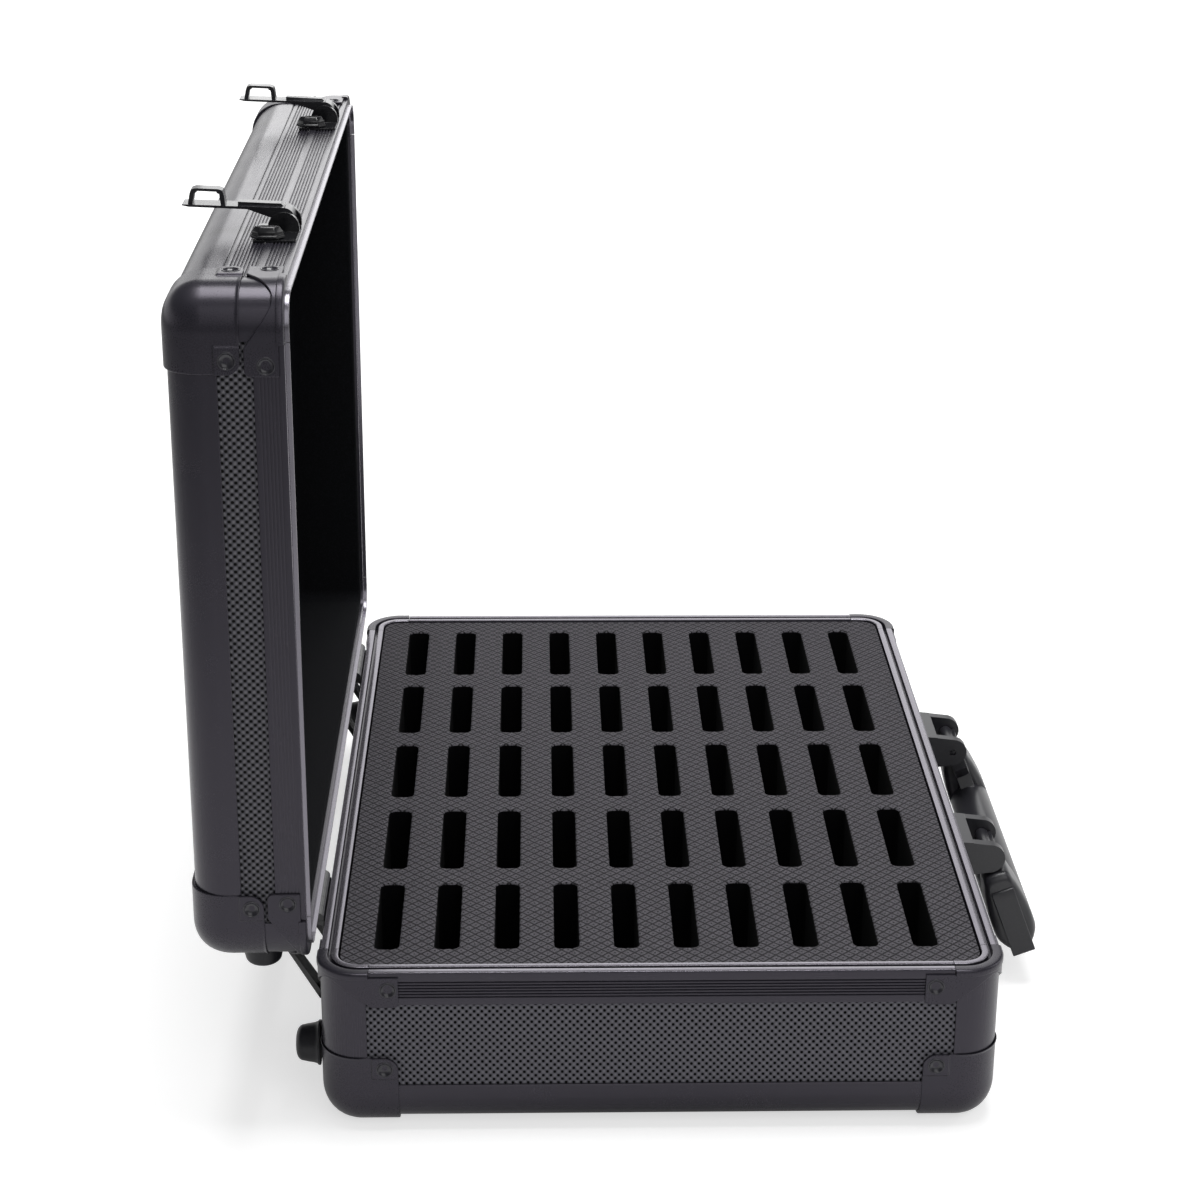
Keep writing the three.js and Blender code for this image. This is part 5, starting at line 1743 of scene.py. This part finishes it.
@dataclass
class CarryingHandle:
    """Swinging handle, drawn flat: X along the case, the distance from its pivot, and towards the case."""

    finish: bpy.types.Material
    pin_finish: bpy.types.Material
    tilt: float = 21.0
    bracket_centre: float = 63.5
    eye_half: float = 11.7
    reach: float = 54.0
    half: float = 86.0
    core_out: float = 5.0
    core_in: float = 3.0
    end_out: float = 6.0
    end_in: float = 5.6
    pad_inset: float = 2.0
    pad_half: float = 10.5
    grip_depth: float = 24.0
    barrel: float = 3.2
    pin: float = 1.5
    pin_start: float = 47.1
    pin_end: float = 78.5
    roll: float = 4.5
    eye_roll: float = 0.4
    pin_roll: float = 0.3
    squareness: float = 0.85

    def core_outline(self) -> np.ndarray:
        """Outline of the flat core: the loop with its square ends and open middle.

        Returns:
            (X, distance) points.
        """
        c, h, r = self.bracket_centre, self.half, self.reach
        e0, e1 = c - self.eye_half, c + self.eye_half
        outer = np.array([[e0, 0], [e1, 0], [e1, 10], [h - 2, 18], [h - 0.6, 21], [h - 0.6, r - 0.6]])
        inner = np.array([[c - 15, 32], [c - 6, 28.5], [c - 3, 22], [e0 + 1, 14]])
        flip = np.array([-1, 1])
        return np.concatenate([outer, outer[::-1] * flip, inner[::-1] * flip, inner])

    def end_outline(self) -> np.ndarray:
        """Outline of the thicker plate at one end of the core, as (X, distance) points."""
        h, r = self.half, self.reach
        return np.array([[h - 12, 16.5], [h - 1, 17], [h, 21], [h, r - 0.8], [h - 0.8, r], [h - 12, r]])

    def grip_outline(self) -> np.ndarray:
        """Section of the grip: an ellipse raised to a softer square.

        Each coordinate is its half size times a power of the size of the cosine or sine, with its sign.

        Returns:
            (Distance, towards the case) points.
        """
        a = np.linspace(0, 2 * math.pi, 49)[:-1]
        c, s = np.cos(a), np.sin(a)
        middle = self.reach - self.pad_inset - self.grip_depth / 2
        across = np.sign(c) * np.abs(c) ** self.squareness * self.grip_depth / 2
        return np.stack([middle + across, np.sign(s) * np.abs(s) ** self.squareness * self.pad_half], -1)

    def arm_outline(self) -> np.ndarray:
        """Section of an arm's cushion: thin at the pivot and swelling to the grip.

        Returns:
            (Distance, towards the case) points of a smooth closed curve.
        """
        half = np.array([[9, 5], [15, 7.6], [24, 9.4], [36, self.pad_half], [45, self.pad_half - 1],
                         [50.5, self.pad_half - 4], [52, self.pad_half - 7]])
        return smooth_loop(np.concatenate([half, half[::-1] * np.array([1, -1])]), 5)

    @staticmethod
    def plate(outline: np.ndarray, low: float, high: float) -> np.ndarray:
        """The outline at two distances towards the case."""
        return np.stack([np.column_stack([outline, np.full(len(outline), t)]) for t in (low, high)])

    def build(self) -> None:
        """Joins the core, the grip, the arms' cushions, the pivot barrels and the pins."""
        surface = Surface()
        add_tube(surface, self.plate(self.core_outline(), -self.core_out, self.core_in))
        for sign in (-1, 1):
            end_plate = self.end_outline() * np.array([sign, 1])
            add_tube(surface, self.plate(end_plate, -self.end_out, self.end_in))
        end = self.half - self.pad_inset
        add_cushion(surface, self.grip_outline(), 1 - end, end - 1, self.roll)
        for sign in (-1, 1):
            for outline, near, far, roll, shade in (
                (self.arm_outline(), self.bracket_centre - 3, end, self.roll, 0),
                (circle(self.barrel, 32), self.bracket_centre - self.eye_half,
                 self.bracket_centre + self.eye_half, self.eye_roll, 0),
                (circle(self.pin, 24), self.pin_start, self.pin_end, self.pin_roll, 1),
            ):
                start, stop = sorted((sign * near, sign * far))
                add_cushion(surface, outline, start, stop, roll, shade)
        _, y, z = joint_place("handle_pivot")
        piece = make_piece("carrying_grip", surface, shift(0, y, z) @ turn_x(-90 - self.tilt),
                           [self.finish, self.pin_finish], sharp=38)
        add_bevel(piece, 0.5, 2, 40)
        settle(piece, "handle", "handle_plastic", ["carrying_handle"])


# Studio


@dataclass(frozen=True)
class Lamp:
    """Square soft light at a place in metres, aimed at a point, with its side in metres and its watts."""

    name: str
    place: tuple[float, float, float]
    aim: tuple[float, float, float]
    size: float
    power: float

    def build(self) -> None:
        """Adds the light, which the camera doesn't see; it shines along its own -Z."""
        data = bpy.data.lights.new(self.name, "AREA")
        data.size = self.size
        data.energy = self.power
        lamp = bpy.data.objects.new(self.name, data)
        back = np.array(self.place, float) - np.array(self.aim, float)
        back /= np.linalg.norm(back)
        side = np.cross([0, 0, 1] if abs(back[2]) < 0.99 else [0, 1, 0], back)
        side /= np.linalg.norm(side)
        matrix = np.eye(4)
        matrix[:3, :3] = np.stack([side, np.cross(back, side), back], 1)
        matrix[:3, 3] = self.place
        lamp.matrix_world = Matrix(matrix.tolist())
        lamp.visible_camera = False
        bpy.context.scene.collection.objects.link(lamp)


@dataclass
class Studio:
    """Floor, soft light and the camera of the photograph.

    The eye is in millimetres and the glow's distances are in metres. A room light's span is on the height
    of a ray, or on how far it looks along X, as a share of its length.
    """

    eye: tuple[float, float, float] = (-1263.3, 56.1, 666.9)
    focal: float = 79.99
    sensor: float = 36.0
    far: float = 20.0
    yaw: float = 1.48
    pitch: float = 21.26
    roll: float = 0.37
    sweep_top: tuple[float, float] = (0.24, 0.38)
    sweep_light: float = 1.0
    behind_span: tuple[float, float] = (-0.7, 0.4)
    front_share: float = 0.1
    wall_light: float = 0.1
    ceiling_light: float = 0.45
    ceiling_span: tuple[float, float] = (0.75, 1.0)
    floor_tone: str = "#cdcdcd"
    floor_glow: float = 0.62
    glow_span: tuple[float, float] = (0.3, 2.5)
    mirrored_glow: float = 0.46
    mirrored_ring: tuple[tuple[float, float], ...] = ((0.18, 0.31), (0.6, 1.2))
    floor_reach: float = 6000.0
    floor_drop: float = 0.05
    lamps: tuple[Lamp, ...] = (
        Lamp("overhead", place=(0.1, 0.0, 2.0), aim=(0.0, 0.0, 0.0), size=1.0, power=31.0),
        Lamp("front", place=(-1.6, -0.4, 1.35), aim=(0.0, 0.0, 0.1), size=1.6, power=11.0),
        Lamp("back", place=(2.0, -0.1, 1.15), aim=(0.0, 0.0, 0.1), size=1.3, power=8.0),
        Lamp("side", place=(0.3, -1.9, 1.2), aim=(0.0, 0.0, 0.1), size=1.2, power=8.0),
    )

    def camera(self) -> None:
        """Places the camera: it looks along +X, turned a little to the handle side and tipped down."""
        yaw, pitch, roll = (math.radians(v) for v in (self.yaw, self.pitch, self.roll))
        flat = math.cos(pitch)
        ahead = np.array([flat * math.cos(yaw), -flat * math.sin(yaw), -math.sin(pitch)])
        level = np.cross(ahead, [0, 0, 1])
        level /= np.linalg.norm(level)
        up = np.cross(level, ahead)
        right = math.cos(roll) * level + math.sin(roll) * up
        up = np.cross(right, ahead)
        data = bpy.data.cameras.new("camera")
        data.lens = self.focal
        data.sensor_width = self.sensor
        data.clip_end = self.far
        eye = bpy.data.objects.new("camera", data)
        matrix = np.eye(4)
        matrix[:3, :3] = np.stack([right, up, -ahead], 1)
        matrix[:3, 3] = np.array(self.eye) * MM
        eye.matrix_world = Matrix(matrix.tolist())
        bpy.context.scene.collection.objects.link(eye)
        bpy.context.scene.camera = eye

    @staticmethod
    def direct(wiring: Wiring, rays: bpy.types.Node) -> bpy.types.NodeSocket:
        """1 for rays from the camera and refracted ones, and 0 for the others."""
        return wiring.calc("MAXIMUM", rays.outputs["Is Camera Ray"], rays.outputs["Is Transmission Ray"])

    def glow(self, wiring: Wiring) -> bpy.types.NodeSocket:
        """How strongly the floor glows for each kind of ray.

        For rays from the camera and refracted ones it makes up for the lamps' fall-off, so it grows with the
        distance from the case. For mirrored ones it is a weaker glow in a ring round the case. For the rest
        there is none, so the glow itself lights nothing.

        Args:
            wiring: the floor material's node tree.

        Returns:
            The output with the strength.
        """
        rays = wiring.add("ShaderNodeLightPath")
        place = wiring.add("ShaderNodeTexCoord").outputs["Object"]
        away = wiring.add("ShaderNodeVectorMath", {"operation": "LENGTH"}, {0: place}).outputs["Value"]
        mirrored = rays.outputs["Is Glossy Ray"]
        for span, share in zip(self.mirrored_ring, ((0.0, self.mirrored_glow), (1.0, 0.0))):
            mirrored = wiring.calc("MULTIPLY", mirrored, wiring.remap(away, span, share))
        spread = wiring.remap(away, self.glow_span, (self.floor_glow, 1.0))
        return wiring.calc("MAXIMUM", wiring.calc("MULTIPLY", self.direct(wiring, rays), spread), mirrored)

    def floor(self) -> None:
        """A pale floor that shows white where it is open and keeps the case's shadow."""
        material = bpy.data.materials.new("pale_floor")
        material.use_nodes = True
        wiring = Wiring(material.node_tree)
        shader = material.node_tree.nodes["Principled BSDF"]
        shader.inputs["Base Color"].default_value = linear(self.floor_tone)
        shader.inputs["Roughness"].default_value = 0.9
        shader.inputs["Specular IOR Level"].default_value = 0.0
        shader.inputs["Emission Color"].default_value = (1, 1, 1, 1)
        wiring.feed(shader.inputs["Emission Strength"], self.glow(wiring))
        surface = Surface()
        a = self.floor_reach
        surface.add(np.array([[-a, -a, 0], [a, -a, 0], [a, a, 0], [-a, a, 0]]), [[0, 1, 2, 3]])
        make_piece("studio_floor", surface, shift(0, 0, -self.floor_drop), [material])

    def world(self) -> None:
        """White to the camera; as light, a sweep behind the case, dim walls and a paler ceiling.

        The room is dim on the photographer's side, so the case's near faces mirror little of it.
        """
        world = bpy.data.worlds.new("studio")
        bpy.context.scene.world = world
        world.use_nodes = True
        wiring = Wiring(world.node_tree)
        parts = wiring.split(wiring.add("ShaderNodeTexCoord").outputs["Generated"])
        sweep = wiring.remap(parts[2], self.sweep_top, (self.sweep_light, 0.0))
        behind = wiring.remap(parts[0], self.behind_span, (self.front_share, 1.0))
        ceiling = wiring.remap(parts[2], self.ceiling_span, (self.wall_light, self.ceiling_light))
        room = wiring.calc("MULTIPLY_ADD", sweep, behind, ceiling)
        seen = self.direct(wiring, wiring.add("ShaderNodeLightPath"))
        background = world.node_tree.nodes["Background"]
        wiring.feed(background.inputs["Strength"], wiring.calc("MAXIMUM", seen, room))
        background.inputs["Color"].default_value = (1, 1, 1, 1)

    def build(self) -> None:
        """Sets the stage."""
        self.floor()
        self.world()
        for lamp in self.lamps:
            lamp.build()
        self.camera()
        bpy.context.scene.view_settings.view_transform = "Standard"


def main() -> None:
    """Builds the case in order: shells, soft insides, fittings, handle and the studio."""
    logging.basicConfig(level=logging.INFO, format="%(name)s: %(message)s")
    sizes = CaseSizes.from_frame()
    finishes = Finishes()
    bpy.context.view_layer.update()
    for half in Half:
        Shell(sizes, finishes, half).build()
    FoamTray(sizes, finishes).build()
    LidLining(sizes, finishes).build()
    Fittings(sizes, finishes).build()
    CarryingHandle(finishes.grip, finishes.plated).build()
    Studio().build()


if __name__ == "__main__":
    main()
